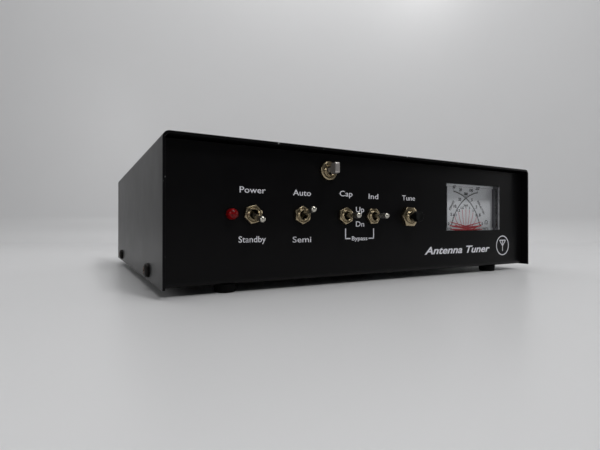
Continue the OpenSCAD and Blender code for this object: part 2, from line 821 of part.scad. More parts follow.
module ground_wing_nut() {
    ear_r = 3.2;
    ear_x = wing_span / 2 - ear_r;
    color([0.78, 0.78, 0.8]) place() on_rear(ground_x, ground_z, wing_out) rotate([0, 0, 24]) difference() {
        union() {
            cylinder(h = wing_hub_l, d1 = wing_hub_d + 1, d2 = wing_hub_d);
            for (side = [0, 180]) rotate([90, 0, side]) translate([0, 0, -wing_t / 2]) linear_extrude(wing_t) {
                translate([ear_x, wing_h - ear_r + 1]) circle(ear_r);
                polygon([
                    [1, 0], [wing_hub_d / 2 + 0.5, 0], [ear_x + ear_r * 0.8, wing_h - ear_r - 0.9],
                    [ear_x - ear_r * 0.6, wing_h - ear_r + 3.5], [wing_hub_d / 2 - 0.5, wing_hub_l],
                    [1, wing_hub_l]
                ]);
            }
        }
        translate([0, 0, -1]) cylinder(h = wing_h + 4, d = stud_d + 2 * running_gap);
    }
}

// ---- Meter ---------------------------------------------------------------------------------

module meter_window() {
    clear_w = window_w - 2 * window_gap;
    clear_h = window_h - 2 * window_gap;
    color([0.8, 0.85, 0.88, 0.4]) place() difference() {
        union() {
            on_front(window_x, window_z, window_proud) translate([0, 0, -housing_y - window_proud])
                linear_extrude(housing_y + window_proud) rounded_2d(clear_w, clear_h, 0.8);
            on_front(window_x, housing_mid, -housing_y) linear_extrude(rim_t)
                rounded_2d(housing_w, housing_h, 1.2);
        }
        on_front(window_x, window_z, -housing_y - 1)
            linear_extrude(housing_y + 1 + window_proud - window_wall)
            rounded_2d(clear_w - 2 * window_wall, clear_h - 2 * window_wall, 0.5);
    }
}

module meter_housing() {
    depth = housing_d - rim_t;
    color([0.05, 0.05, 0.05]) place() difference() {
        on_front(window_x, housing_mid, -housing_y - depth) linear_extrude(depth)
            rounded_2d(housing_w, housing_h, 1.2);
        on_front(window_x, housing_mid, -housing_y - depth + housing_wall) linear_extrude(depth)
            rounded_2d(housing_w - 2 * housing_wall, housing_h - 2 * housing_wall, 0.6);
        for (x = meter_stud_xs) on_front(x, window_z, -housing_y - depth - 1)
            cylinder(h = housing_wall + 2, d = 3 + 2 * screw_gap);
    }
}

module meter_dial() {
    dial_w = housing_w - 2 * (housing_wall + dial_gap);
    dial_low = needle_pivot_z + hub_d / 2 + 1.4;
    dial_top = housing_top - housing_wall - dial_gap;
    color([0.85, 0.86, 0.88]) place() on_front(window_x, (dial_top + dial_low) / 2, -dial_depth - dial_t)
        linear_extrude(dial_t) rounded_2d(dial_w, dial_top - dial_low, 0.8);
}

module needle_places() {
    for (side = [-1, 1]) translate([window_x + side * needle_pivot_x, 0, needle_pivot_z]) children();
}

module meter_magnets() {
    yoke_t = 2;
    bar_low = magnet_bore / 2 + 0.8;
    color([0.45, 0.45, 0.48]) place() difference() {
        union() {
            needle_places() translate([0, front_y + magnet_y + magnet_l, 0]) rotate([90, 0, 0]) difference() {
                cylinder(h = magnet_l, d = magnet_d);
                translate([0, 0, -1]) cylinder(h = magnet_l + 2, d = magnet_bore);
            }
            needle_places() translate([0, front_y + magnet_y + magnet_l, 0]) rotate([90, 0, 0])
                cylinder(h = magnet_l, d = core_post_d);
            on_front(window_x, needle_pivot_z, -magnet_y - magnet_l - yoke_t) linear_extrude(yoke_t)
                rounded_2d(2 * needle_pivot_x + magnet_d, magnet_d - 2, 2);
            on_front(window_x, needle_pivot_z + bar_low + 4, -magnet_y - 1.5)
                linear_extrude(magnet_y + 1.5 - dial_depth - dial_t)
                    square([2 * needle_pivot_x + 6, 8], center = true);
        }
        needle_places() translate([0, front_y + staff_end + 1, 0]) rotate([90, 0, 0])
            cylinder(h = 20, d = staff_d + 2 * running_gap);
    }
}

module meter_terminals() {
    color([0.8, 0.65, 0.3]) place() for (x = meter_stud_xs) {
        on_front(x, window_z, -meter_stud_depth)
            cylinder(h = meter_stud_depth - sheet_t - housing_d + housing_wall + 1, d = 3);
        on_front(x, window_z, -sheet_t - housing_d - 2.4) rotate([0, 0, 10]) difference() {
            cylinder(h = 2.4, d = 5.5 / cos(30), $fn = 6);
            translate([0, 0, -1]) cylinder(h = 5, d = 3 + 2 * screw_gap);
        }
    }
}

// Needle with its staff and coil, pointing to +X from the pivot at the origin, level with +Y depths
module needle_assembly(arm_y) {
    coil_y = dial_depth + dial_t + 0.8;
    translate([0, arm_y, -needle_w / 2]) cube([needle_l, needle_t, needle_w]);
    translate([-4.4, arm_y, -0.6]) cube([4.4, needle_t, 1.2]);
    translate([0, arm_y + needle_t + 0.3, 0]) rotate([90, 0, 0]) cylinder(h = needle_t + 0.6, d = hub_d);
    translate([0, staff_end, 0]) rotate([90, 0, 0]) cylinder(h = staff_end - arm_y + 0.3, d = staff_d);
    difference() {
        translate([-coil_r - coil_t / 2, coil_y, -coil_w / 2])
            cube([2 * coil_r + coil_t, magnet_y + magnet_l - 1 - coil_y, coil_w]);
        translate([-coil_r + coil_t / 2, magnet_y - 0.8, -coil_w])
            cube([2 * coil_r - coil_t, magnet_l, 2 * coil_w]);
    }
}

module forward_needle() {
    color([0.75, 0.08, 0.06]) place() translate([window_x + needle_pivot_x, front_y, needle_pivot_z])
        mirror([1, 0, 0]) rotate([0, -needle_rest, 0]) needle_assembly(forward_y);
}

module reflected_needle() {
    color([0.75, 0.08, 0.06]) place() translate([window_x - needle_pivot_x, front_y, needle_pivot_z])
        rotate([0, -needle_rest, 0]) needle_assembly(reflected_y);
}

// ---- Switches and lamp ---------------------------------------------------------------------

// Every toggle switch's place, with the selector laid on its side
module toggle_places() {
    for (x = toggle_xs) on_front(x, row_z) children();
    on_front(selector_x, selector_z) rotate([0, 0, 90]) children();
}

module switch_bushings() {
    color([0.7, 0.64, 0.5]) place() {
        toggle_places() difference() {
            union() {
                translate([0, 0, -bushing_back]) cylinder(h = bushing_l, d = bushing_d);
                translate([0, 0, -bushing_back - switch_plate_t]) linear_extrude(switch_plate_t)
                    rounded_2d(switch_body_w, switch_body_l, 0.5);
            }
            translate([0, 0, -bushing_back - switch_plate_t - 1]) cylinder(h = bushing_l + 5, d = lever_hole_d);
        }
        on_front(tune_x, row_z) difference() {
            union() {
                translate([0, 0, -button_bushing_back])
                    cylinder(h = button_bushing_back + button_bushing_out, d = button_bushing_d);
                translate([0, 0, -button_plate_in]) linear_extrude(switch_plate_t)
                    rounded_2d(button_body_w, button_body_l, 0.5);
            }
            translate([0, 0, -button_plate_in - 1])
                cylinder(h = button_plate_in + button_bushing_out + 2, d = button_stem_d + 2 * running_gap);
        }
    }
}

module switch_bodies() {
    color([0.55, 0.08, 0.07]) place() {
        toggle_places() translate([0, 0, -bushing_back - switch_plate_t - switch_body_d]) difference() {
            linear_extrude(switch_body_d) rounded_2d(switch_body_w, switch_body_l, 0.5);
            translate([0, 0, switch_body_d - 3.5]) cylinder(h = 4, d = switch_body_w - 1.4);
        }
        on_front(tune_x, row_z) translate([0, 0, -button_plate_in - button_body_d]) difference() {
            linear_extrude(button_body_d) rounded_2d(button_body_w, button_body_l, 0.6);
            translate([0, 0, button_body_d - button_pocket_l])
                cylinder(h = button_pocket_l + 1, d = button_pocket_d);
        }
    }
}

module switch_back_nuts() {
    color([0.72, 0.66, 0.52]) place() {
        toggle_places() translate([0, 0, -sheet_t]) mirror([0, 0, 1])
            hex_nut(nut_af, nut_t, bushing_d + 2 * screw_gap);
        on_front(tune_x, row_z) translate([0, 0, -sheet_t]) mirror([0, 0, 1])
            hex_nut(button_nut_af, nut_t, button_bushing_d + 2 * screw_gap);
    }
}

module toggle_nuts() {
    color([0.72, 0.66, 0.52]) place() for (i = [0:len(toggle_xs) - 1])
        on_front(toggle_xs[i], row_z) rotate([0, 0, nut_turns[i]])
            hex_nut(nut_af, nut_t, bushing_d + 2 * screw_gap);
}

module selector_nut() {
    color([0.72, 0.66, 0.52]) place() on_front(selector_x, selector_z) rotate_extrude() polygon([
        [bushing_d / 2 + screw_gap, 0], [round_nut_d / 2, 0], [round_nut_d / 2, nut_t - 0.5],
        [round_nut_d / 2 - 0.5, nut_t], [bushing_d / 2 + screw_gap, nut_t]
    ]);
}

module tune_nut() {
    color([0.72, 0.66, 0.52]) place() on_front(tune_x, row_z) rotate([0, 0, -3])
        hex_nut(button_nut_af, button_nut_t, button_bushing_d + 2 * screw_gap);
}

module switch_terminals() {
    color([0.82, 0.78, 0.66]) place() {
        toggle_places() for (i = [-1:1])
            translate([-terminal_w / 2, i * terminal_pitch - terminal_t / 2, -terminal_depth])
                cube([terminal_w, terminal_t, terminal_l]);
        on_front(tune_x, row_z) for (i = [-1:1])
            translate([-terminal_w / 2, i * terminal_pitch - terminal_t / 2, -button_terminal_depth])
                cube([terminal_w, terminal_t, terminal_l]);
        for (side = [-1, 1]) on_front(lamp_x, row_z, -lamp_lead_depth) translate([side * 1.27 - 0.25, -0.25, 0])
            cube([0.5, 0.5, lamp_lead_depth - sheet_t - lamp_flange_t - 0.5]);
    }
}

// Round parts of a lever along +Z from its pivot: ball, tail and stem
module lever_core(stem_end) {
    sphere(d = pivot_ball_d);
    translate([0, 0, -lever_tail]) cylinder(h = lever_tail, d = lever_tail_d);
    cylinder(h = stem_end, d1 = stem_d, d2 = stem_d + 0.2);
}

module bat_lever() {
    tip_z = lever_reach - lever_tip_d / 2;
    taper = 5;
    lever_core(tip_z - taper + 0.5);
    translate([0, 0, tip_z - taper]) cylinder(h = taper, d1 = stem_d + 0.2, d2 = lever_tip_d);
    translate([0, 0, tip_z]) sphere(d = lever_tip_d);
}

// Puts a lever at its pivot, tilted up by an angle
module lever_at(x, z, up) {
    on_front(x, z, -pivot_depth) rotate([-up, 0, 0]) children();
}

module power_lever() {
    color([0.82, 0.82, 0.84]) place() lever_at(power_x, row_z, -lever_tilt) bat_lever();
}

module auto_lever() {
    color([0.82, 0.82, 0.84]) place() lever_at(auto_x, row_z, lever_tilt) bat_lever();
}

module capacitor_lever() {
    color([0.82, 0.82, 0.84]) place() lever_at(capacitor_x, row_z, 0) bat_lever();
}

module inductor_lever() {
    color([0.82, 0.82, 0.84]) place() lever_at(inductor_x, row_z, 0) bat_lever();
}

module selector_lever() {
    color([0.82, 0.82, 0.84]) place()
        on_front(selector_x, selector_z, -pivot_depth) rotate([0, -lever_tilt, 0]) {
            lever_core(lever_reach - paddle_l + 0.5);
            translate([-paddle_t / 2, 0, lever_reach - paddle_l / 2]) rotate([90, 0, 90])
                linear_extrude(paddle_t) rounded_2d(paddle_w, paddle_l, 0.8);
        }
}

module tune_button() {
    stem_in = button_plate_in + collar_gap + collar_t + button_tail;
    color([0.04, 0.04, 0.045]) place() on_front(tune_x, row_z) {
        translate([0, 0, -stem_in]) cylinder(h = stem_in + button_out - 1, d = button_stem_d);
        translate([0, 0, -button_plate_in - collar_gap - collar_t]) cylinder(h = collar_t, d = collar_d);
        translate([0, 0, button_out - button_cap_l]) rotate_extrude() polygon(concat(
            [[0, 0], [button_d / 2 - 0.2, 0], [button_d / 2, 0.2]],
            [for (a = [0:15:90]) [button_d / 2 - 0.8 + 0.8 * cos(a), button_cap_l - 0.8 + 0.8 * sin(a)]],
            [[0, button_cap_l]]
        ));
    }
}

module tune_spring() {
    seat = -button_plate_in - button_pocket_l + spring_wire_d / 2 + 0.02;
    top = -button_plate_in - collar_gap - collar_t - spring_wire_d / 2 - 0.02;
    count = spring_turns * spring_steps;
    coil = [for (i = [0:count]) let (a = 360 * i / spring_steps)
        [spring_d / 2 * cos(a), spring_d / 2 * sin(a), seat + (top - seat) * i / count]];
    color([0.7, 0.7, 0.72]) place() on_front(tune_x, row_z) swept_wire(coil, spring_wire_d, spring_sides);
}

module status_lamp() {
    color([0.6, 0.03, 0.04]) place() on_front(lamp_x, row_z) {
        translate([0, 0, -sheet_t - lamp_flange_t]) cylinder(h = lamp_flange_t, d = lamp_flange_d);
        translate([0, 0, -sheet_t - 0.5]) cylinder(h = sheet_t + 0.5 + lamp_out - lamp_d / 2, d = lamp_d);
        translate([0, 0, lamp_out - lamp_d / 2]) sphere(d = lamp_d);
    }
}

cover();
chassis();
cover_screws();
rubber_feet();
main_board();
board_standoffs();
board_screws();
standoff_screws();
relays();
inductor_cores();
inductor_windings();
air_coils();
tuning_capacitors();
controller_chip();
controller_socket();
crystal();
voltage_regulator();
regulator_heatsink();
coupler_cores();
coupler_windings();
filter_capacitors();
trimmers();
panel_header();
panel_plug();
panel_harness();
rear_leads();
rf_socket_bodies();
rf_socket_insulators();
rf_socket_contacts();
rf_socket_screws();
rf_socket_nuts();
power_inlet();
power_inlet_nut();
power_inlet_pin();
ground_stud();
ground_nuts();
ground_washer();
ground_wing_nut();
meter_housing();
meter_window();
meter_dial();
meter_magnets();
meter_terminals();
forward_needle();
reflected_needle();
switch_bodies();
switch_bushings();
switch_back_nuts();
toggle_nuts();
selector_nut();
tune_nut();
switch_terminals();
power_lever();
auto_lever();
capacitor_lever();
inductor_lever();
selector_lever();
tune_button();
tune_spring();
status_lamp();
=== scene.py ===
"""Looks of an automatic antenna tuner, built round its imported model.

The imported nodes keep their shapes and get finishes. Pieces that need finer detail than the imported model
holds, such as threads, printed legends, cross recesses and eased sheet edges, are worked out here with
numpy. The sizes in the classes are millimetres, and Piece.add turns them into metres.
"""

import json
import logging
import math
from dataclasses import dataclass, field
from enum import Enum
from typing import Callable, Iterable, Sequence

import bmesh
import bpy
import numpy as np
from mathutils import Euler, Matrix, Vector

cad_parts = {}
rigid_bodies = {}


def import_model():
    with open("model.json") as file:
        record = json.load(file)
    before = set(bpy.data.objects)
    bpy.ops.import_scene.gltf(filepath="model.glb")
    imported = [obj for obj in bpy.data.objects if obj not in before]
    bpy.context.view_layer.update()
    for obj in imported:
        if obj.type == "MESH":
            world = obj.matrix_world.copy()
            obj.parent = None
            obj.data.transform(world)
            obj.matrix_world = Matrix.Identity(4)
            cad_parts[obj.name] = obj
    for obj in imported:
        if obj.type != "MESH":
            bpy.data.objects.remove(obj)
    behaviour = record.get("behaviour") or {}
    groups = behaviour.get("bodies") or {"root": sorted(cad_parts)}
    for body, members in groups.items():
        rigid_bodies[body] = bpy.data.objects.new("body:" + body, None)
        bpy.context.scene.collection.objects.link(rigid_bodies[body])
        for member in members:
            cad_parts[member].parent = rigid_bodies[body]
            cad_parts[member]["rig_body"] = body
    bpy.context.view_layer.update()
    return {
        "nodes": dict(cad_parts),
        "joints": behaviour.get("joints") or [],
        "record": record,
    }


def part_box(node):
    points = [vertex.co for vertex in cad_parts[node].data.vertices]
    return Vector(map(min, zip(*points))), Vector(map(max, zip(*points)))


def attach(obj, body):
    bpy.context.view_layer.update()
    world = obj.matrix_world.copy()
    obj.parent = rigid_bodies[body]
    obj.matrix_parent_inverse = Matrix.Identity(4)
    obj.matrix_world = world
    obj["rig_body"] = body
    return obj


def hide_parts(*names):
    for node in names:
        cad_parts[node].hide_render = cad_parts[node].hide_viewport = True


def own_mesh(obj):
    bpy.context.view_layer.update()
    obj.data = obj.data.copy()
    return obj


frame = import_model()

MM = 0.001
LOG = logging.getLogger("tuner")
Colour = tuple[float, float, float]
Tree = bpy.types.NodeTree
Node = bpy.types.Node
Socket = bpy.types.NodeSocket


# ---- Shells: surfaces worked out as arrays ------------------------------------------------------


@dataclass(frozen=True)
class Shell:
    """A surface: its points in millimetres, one row each, and its faces as tuples of point numbers."""

    points: np.ndarray
    faces: list

    def moved(self, change: Callable[[np.ndarray], np.ndarray]) -> "Shell":
        """The same faces on points that change has moved."""
        return Shell(change(self.points), self.faces)


def angles(count: int) -> np.ndarray:
    """Evenly spaced angles round a full turn, in radians."""
    return np.linspace(0.0, 2 * math.pi, count, endpoint=False)


def lattice(rows: int, columns: int, join_rows: bool, join_columns: bool) -> list:
    """Faces of a grid of points: each takes the four points of one cell.

    Args:
        rows: how many rows of points there are.
        columns: how many points a row has.
        join_rows: whether the last row joins the first.
        join_columns: whether the last column joins the first.

    Returns:
        The quads, as tuples of point numbers.
    """
    row = np.arange(rows if join_rows else rows - 1)[:, None]
    column = np.arange(columns if join_columns else columns - 1)[None, :]
    below, beside = (row + 1) % rows, (column + 1) % columns
    corners = [row * columns + column, row * columns + beside]
    corners += [below * columns + beside, below * columns + column]
    return np.stack(np.broadcast_arrays(*corners), -1).reshape(-1, 4).tolist()


def rings(radius: np.ndarray, height: np.ndarray, turn: float = 0.0, closed: bool = False) -> Shell:
    """Skin over rings round the Z axis.

    A point of ring i at angle a is (r cos a, r sin a, h), with r = radius[i, a] and h = height[i, a].

    Args:
        radius: rings by angles, in millimetres.
        height: rings by angles, in millimetres.
        turn: how far the whole skin is turned about Z, in degrees.
        closed: whether the last ring joins the first, as on a hollow piece.

    Returns:
        The skin.
    """
    radius, height = np.broadcast_arrays(radius, height)
    rows, count = radius.shape
    a = angles(count)[None, :] + math.radians(turn)
    points = np.stack([radius * np.cos(a), radius * np.sin(a), height + 0 * a], -1)
    return Shell(points.reshape(-1, 3), lattice(rows, count, closed, True))


def eased(profile: Sequence[tuple], ease: float, closed: bool = False, steps: int = 3) -> np.ndarray:
    """A profile with its corners rounded.

    Each corner P between A and B becomes the curve (1-t)^2 P1 + 2t(1-t) P + t^2 P2, where P1 and P2 lie
    on its two sides at the distance ease, or at 45 % of a side that is shorter.

    Args:
        profile: points as (radius, height).
        ease: distance from a corner at which its curve starts.
        closed: whether the profile is a loop.
        steps: points on each curve, less one.

    Returns:
        The new points, one row each.
    """
    p = np.asarray(profile, float)
    t = np.linspace(0, 1, steps + 1)[:, None]
    out = []
    for i, corner in enumerate(p):
        if not closed and i in (0, len(p) - 1):
            out.append(corner[None])
            continue
        before, after = p[i - 1] - corner, p[(i + 1) % len(p)] - corner
        start = corner + before * min(0.45, ease / max(np.linalg.norm(before), 1e-9))
        end = corner + after * min(0.45, ease / max(np.linalg.norm(after), 1e-9))
        out.append((1 - t) ** 2 * start + 2 * t * (1 - t) * corner + t**2 * end)
    return np.concatenate(out)


def spun(profile: Sequence[tuple], count: int, closed: bool = False) -> Shell:
    """A profile of (radius, height) carried round the Z axis as it is."""
    p = np.repeat(np.asarray(profile, float)[:, None], count, 1)
    return rings(p[..., 0], p[..., 1], closed=closed)


def turned(profile: Sequence[tuple], ease: float = 0.1, closed: bool = False, count: int = 64) -> Shell:
    """A piece turned on a lathe: an eased profile of (radius, height) carried round the Z axis."""
    return spun(eased(profile, ease, closed), count, closed)


def hexagon(flats: float, count: int) -> np.ndarray:
    """Radius of a hexagon at each angle: half the flats over the cosine of the angle from a flat."""
    sixth = math.pi / 3
    return flats / 2 / np.cos(np.mod(angles(count), sixth) - sixth / 2)


def rectangle(width: float, height: float, corner: float, count: int) -> np.ndarray:
    """Radius of a rectangle with round corners at each angle.

    A ray leaves through an upright side at (w/2)/|cos a|, through a level side at (h/2)/|sin a|, and
    through a corner's circle, centred on c with radius r, at d.c + sqrt((d.c)^2 - c.c + r^2).
    """
    c, s = np.abs(np.cos(angles(count))), np.abs(np.sin(angles(count)))
    side, level = width / 2 / np.maximum(c, 1e-9), height / 2 / np.maximum(s, 1e-9)
    cx, cy = width / 2 - corner, height / 2 - corner
    along = c * cx + s * cy
    round_end = along + np.sqrt(np.maximum(along**2 - cx**2 - cy**2 + corner**2, 0))
    flat = np.where(side * s <= cy, side, round_end)
    return np.where(level * c <= cx, level, flat)


def stacked(levels: Sequence[tuple], count: int, turn: float = 0.0, closed: bool = True) -> Shell:
    """Skin over levels, each a (radius, height) pair whose members are numbers or one value an angle."""
    radius = np.stack([np.broadcast_to(np.asarray(r, float), (count,)) for r, _ in levels])
    height = np.stack([np.broadcast_to(np.asarray(h, float), (count,)) for _, h in levels])
    return rings(radius, height, turn, closed)


def thread(major: float, depth: float, pitch: float, low: float, high: float, count: int) -> list:
    """Levels of a helical thread.

    The radius at height h and angle a is the root plus the depth times a rounded triangle wave of
    h / pitch - a / (one turn), and the wave fades out within a pitch of both ends.

    Args:
        major: outer radius.
        depth: from the crest to the root.
        pitch: rise of one turn.
        low: height at which the thread starts.
        high: height at which it ends.
        count: angles in a ring.

    Returns:
        (radius, height) pairs for stacked().
    """
    h = np.linspace(low, high, int(round((high - low) / pitch * 7)) + 2)[:, None]
    wave = np.mod(h / pitch - angles(count)[None, :] / (2 * math.pi), 1.0)
    ridge = np.clip(1.5 * (1 - np.abs(2 * wave - 1)) - 0.25, 0, 1)
    fade = np.clip(np.minimum(h - low, high - h) / (0.8 * pitch), 0, 1)
    radius = major - depth + depth * ridge * fade
    return [(radius[i], h[i, 0]) for i in range(len(h))]


def stroke(path: np.ndarray, width: float | np.ndarray, depth: float, loop: bool = False) -> Shell:
    """A ribbon of paint or a flat bar along a path in the XY plane, with its back at z = 0.

    At each point the path's own normal carries half the width to each side.

    Args:
        path: points, one row each.
        width: one width, or one for each point.
        depth: thickness.
        loop: whether the path closes on itself.

    Returns:
        A closed bar.
    """
    path = np.asarray(path, float)
    ahead = np.roll(path, -1, 0) - np.roll(path, 1, 0)
    if not loop:
        ahead[0], ahead[-1] = path[1] - path[0], path[-1] - path[-2]
    ahead /= np.linalg.norm(ahead, axis=1, keepdims=True)
    half = np.broadcast_to(np.asarray(width, float) / 2, (len(path),))[:, None]
    side = np.stack([-ahead[:, 1], ahead[:, 0]], -1) * half
    left, right = path + side, path - side
    low, high = np.zeros((len(path), 1)), np.full((len(path), 1), depth)
    corners = ((left, low), (right, low), (right, high), (left, high))
    points = np.stack([np.hstack(pair) for pair in corners], 1).reshape(-1, 3)
    faces = lattice(len(path), 4, loop, True)
    if not loop:
        last = 4 * (len(path) - 1)
        faces += [[0, 1, 2, 3], [last + 3, last + 2, last + 1, last]]
    return Shell(points, faces)


def arc(centre: tuple, radius: float, start: float, end: float, steps: int = 48) -> np.ndarray:
    """Points on a circle's arc from one angle to another, in degrees."""
    a = np.radians(np.linspace(start, end, steps))
    return np.stack([centre[0] + radius * np.cos(a), centre[1] + radius * np.sin(a)], -1)


# ---- Seats: where a shell drawn about the origin goes -----------------------------------------------


class Facing(Enum):
    """Where a shell's +Z points, with where its +X and +Y go, in the row frame."""

    FRONT = ((1, 0, 0), (0, 0, 1), (0, -1, 0))
    REAR = ((1, 0, 0), (0, 0, -1), (0, 1, 0))
    LEFT = ((0, 0, 1), (0, 1, 0), (-1, 0, 0))
    RIGHT = ((0, 0, -1), (0, 1, 0), (1, 0, 0))
    DOWN = ((1, 0, 0), (0, -1, 0), (0, 0, -1))


@dataclass(frozen=True)
class Seat:
    """A place for a shell: its origin in millimetres in the row frame, and where it faces."""

    x: float
    y: float
    z: float
    facing: Facing = Facing.FRONT

    def put(self, shell: Shell) -> Shell:
        """The shell moved to this seat."""
        turn = np.array(self.facing.value, float)
        return shell.moved(lambda p: p @ turn + np.array([self.x, self.y, self.z]))

    def shifted(self, across: float = 0.0, up: float = 0.0, out: float = 0.0) -> "Seat":
        """A seat moved along its own three directions."""
        x, y, z = np.array([across, up, out]) @ np.array(self.facing.value, float)
        return Seat(self.x + x, self.y + y, self.z + z, self.facing)


def box_mm(node: str) -> tuple[np.ndarray, np.ndarray]:
    """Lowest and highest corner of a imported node, in millimetres."""
    low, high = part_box(node)
    return np.array(low) / MM, np.array(high) / MM


def middle(node: str) -> np.ndarray:
    """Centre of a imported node's box, in millimetres."""
    return sum(box_mm(node)) / 2


def pivot(joint: str) -> np.ndarray:
    """Place of a joint's axis, in millimetres."""
    found = next(j for j in frame["joints"] if j["name"] == joint)
    return np.array(found["pos_m"]) / MM


def leaned(shell: Shell, angle: float, axis: int) -> Shell:
    """The shell turned about its own X (0), Y (1) or Z (2) axis by an angle in degrees."""
    c, s = math.cos(math.radians(angle)), math.sin(math.radians(angle))
    about_x, about_y = [[1, 0, 0], [0, c, s], [0, -s, c]], [[c, 0, -s], [0, 1, 0], [s, 0, c]]
    turn = np.array((about_x, about_y, [[c, s, 0], [-s, c, 0], [0, 0, 1]])[axis])
    return shell.moved(lambda p: p @ turn)


# ---- Finishes ---------------------------------------------------------------------------------------


class Effect(Enum):
    """The shader node groups that finishes share."""

    GRAIN = "surface_grain"
    WEAR = "edge_wear"
    DUST = "settled_dust"
    LINES = "tool_lines"


class Group:
    """Makes a shader node group: its sockets and its nodes."""

    def __init__(self, kind: Effect) -> None:
        """Starts an empty group with its two end nodes."""
        self.tree = bpy.data.node_groups.new(kind.value, "ShaderNodeTree")
        self.enter = self.tree.nodes.new("NodeGroupInput")
        self.leave = self.tree.nodes.new("NodeGroupOutput")

    def socket(self, name: str, kind: str, default: object = None, out: bool = False) -> None:
        """Adds one input or output of the group.

        Args:
            name: the socket's name.
            kind: Float, Color or Vector.
            default: its value where nothing is linked.
            out: whether it is an output.
        """
        way = "OUTPUT" if out else "INPUT"
        made = self.tree.interface.new_socket(name, in_out=way, socket_type="NodeSocket" + kind)
        if default is not None:
            made.default_value = default

    def floats(self, **defaults: float) -> None:
        """Adds one number input for each name, with its default."""
        for name, default in defaults.items():
            self.socket(name, "Float", default)

    def math(self, operation: str, *values: object) -> Socket:
        """Works out one number from others, each a socket or a value."""
        return self.node("Math", dict(enumerate(values)), operation=operation).outputs[0]

    def node(self, kind: str, inputs: dict | None = None, **settings: object) -> Node:
        """Adds a node. An input given as a socket is linked, and any other value is set."""
        return add_node(self.tree, kind, inputs, **settings)

    def given(self, name: str) -> Socket:
        """The group's input of that name, for use inside it."""
        return self.enter.outputs[name]

    def give(self, name: str, source: Socket) -> None:
        """Feeds the group's output of that name."""
        self.tree.links.new(source, self.leave.inputs[name])


def fill(tree: Tree, node: Node, inputs: dict) -> Node:
    """Gives a node its inputs by name or number: a socket is linked, and any other value is set."""
    for name, value in inputs.items():
        if isinstance(value, Socket):
            tree.links.new(value, node.inputs[name])
        else:
            node.inputs[name].default_value = value
    return node


def add_node(tree: Tree, kind: str, inputs: dict | None = None, **settings: object) -> Node:
    """Adds a shader node to a tree.

    Args:
        tree: a material's or a group's tree.
        kind: the node's type without its ShaderNode.
        inputs: by socket name or number, a socket to link or a value to set.
        settings: the node's own properties.

    Returns:
        The node.
    """
    node = tree.nodes.new("ShaderNode" + kind)
    for name, value in settings.items():
        setattr(node, name, value)
    return fill(tree, node, inputs or {})


def noise(group: Group, scale: object, detail: float, vector: object = None) -> Socket:
    """Noise from 0 to 1 with that many features a metre, on the group's Vector if none is given."""
    where = group.given("Vector") if vector is None else vector
    inputs = {"Vector": where, "Scale": scale, "Detail": detail, "Roughness": 0.55}
    return group.node("TexNoise", inputs).outputs["Fac"]


def ranged(tree: Tree, value: object, bounds: tuple, result: tuple = (0.0, 1.0)) -> Socket:
    """The value carried from its bounds to the result's, and held at the ends."""
    inputs = dict(enumerate((value, *bounds, *result)))
    return add_node(tree, "MapRange", inputs, clamp=True).outputs[0]


def mixed(tree: Tree, share: object, first: object, second: object) -> Socket:
    """Two colours mixed by a share that changes over the surface."""
    return add_node(tree, "Mix", {0: share, 6: first, 7: second}, data_type="RGBA").outputs[2]


def grain_group() -> Tree:
    """Mottled colour, uneven roughness and a fine relief, from two noises of different size."""
    g = Group(Effect.GRAIN)
    g.socket("Vector", "Vector")
    g.socket("Base", "Color", (0.5, 0.5, 0.5, 1))
    g.socket("Second", "Color", (0.4, 0.4, 0.4, 1))
    g.floats(Mottle=0.5, Patch=60.0, Grain=900.0, Low=0.3, High=0.5)
    g.socket("Color", "Color", out=True)
    g.socket("Roughness", "Float", out=True)
    g.socket("Height", "Float", out=True)
    broad, fine = noise(g, g.given("Patch"), 3.0), noise(g, g.given("Grain"), 2.0)
    share = g.math("MULTIPLY", ranged(g.tree, broad, (0.35, 0.65)), g.given("Mottle"))
    g.give("Color", mixed(g.tree, share, g.given("Base"), g.given("Second")))
    both = g.math("ADD", fine, broad)
    g.give("Roughness", ranged(g.tree, both, (0.7, 1.3), (g.given("Low"), g.given("High"))))
    g.give("Height", fine)
    return g.tree


def wear_group() -> Tree:
    """A mask of small chips: noise above a threshold that falls where Edge is near one."""
    g = Group(Effect.WEAR)
    g.socket("Vector", "Vector")
    g.floats(Edge=0.0, Scale=400.0, Amount=0.3)
    g.socket("Mask", "Float", out=True)
    limit = g.math("SUBTRACT", 0.86, g.math("MULTIPLY", g.given("Edge"), g.given("Amount")))
    above = g.math("SUBTRACT", noise(g, g.given("Scale"), 4.0), limit)
    g.give("Mask", ranged(g.tree, above, (0.0, 0.03)))
    return g.tree


def dust_group() -> Tree:
    """A thin uneven veil on faces that look up: the normal's height times two noises."""
    g = Group(Effect.DUST)
    g.socket("Vector", "Vector")
    g.socket("Normal", "Vector")
    g.floats(Amount=0.2)
    g.socket("Mask", "Float", out=True)
    up = g.node("SeparateXYZ", {0: g.given("Normal")}).outputs["Z"]
    cloud = ranged(g.tree, noise(g, 35.0, 4.0), (0.35, 0.75), (0.2, 1.0))
    specks = ranged(g.tree, noise(g, 1600.0, 1.0), (0.62, 0.7))
    veil = g.math("MULTIPLY_ADD", specks, 0.35, cloud)
    mask = g.math("MULTIPLY", veil, ranged(g.tree, up, (0.3, 1.0)))
    g.give("Mask", g.math("MULTIPLY", mask, g.given("Amount")))
    return g.tree


def lines_group() -> Tree:
    """Fine parallel scratches, as a tool leaves: noise on a vector drawn out along one way."""
    g = Group(Effect.LINES)
    g.socket("Vector", "Vector")
    g.socket("Spread", "Vector", (1.0, 1.0, 1.0))
    g.floats(Scale=2500.0)
    g.socket("Height", "Float", out=True)
    drawn = g.node("VectorMath", {0: g.given("Vector"), 1: g.given("Spread")}, operation="MULTIPLY")
    g.give("Height", noise(g, g.given("Scale"), 3.0, drawn.outputs[0]))
    return g.tree


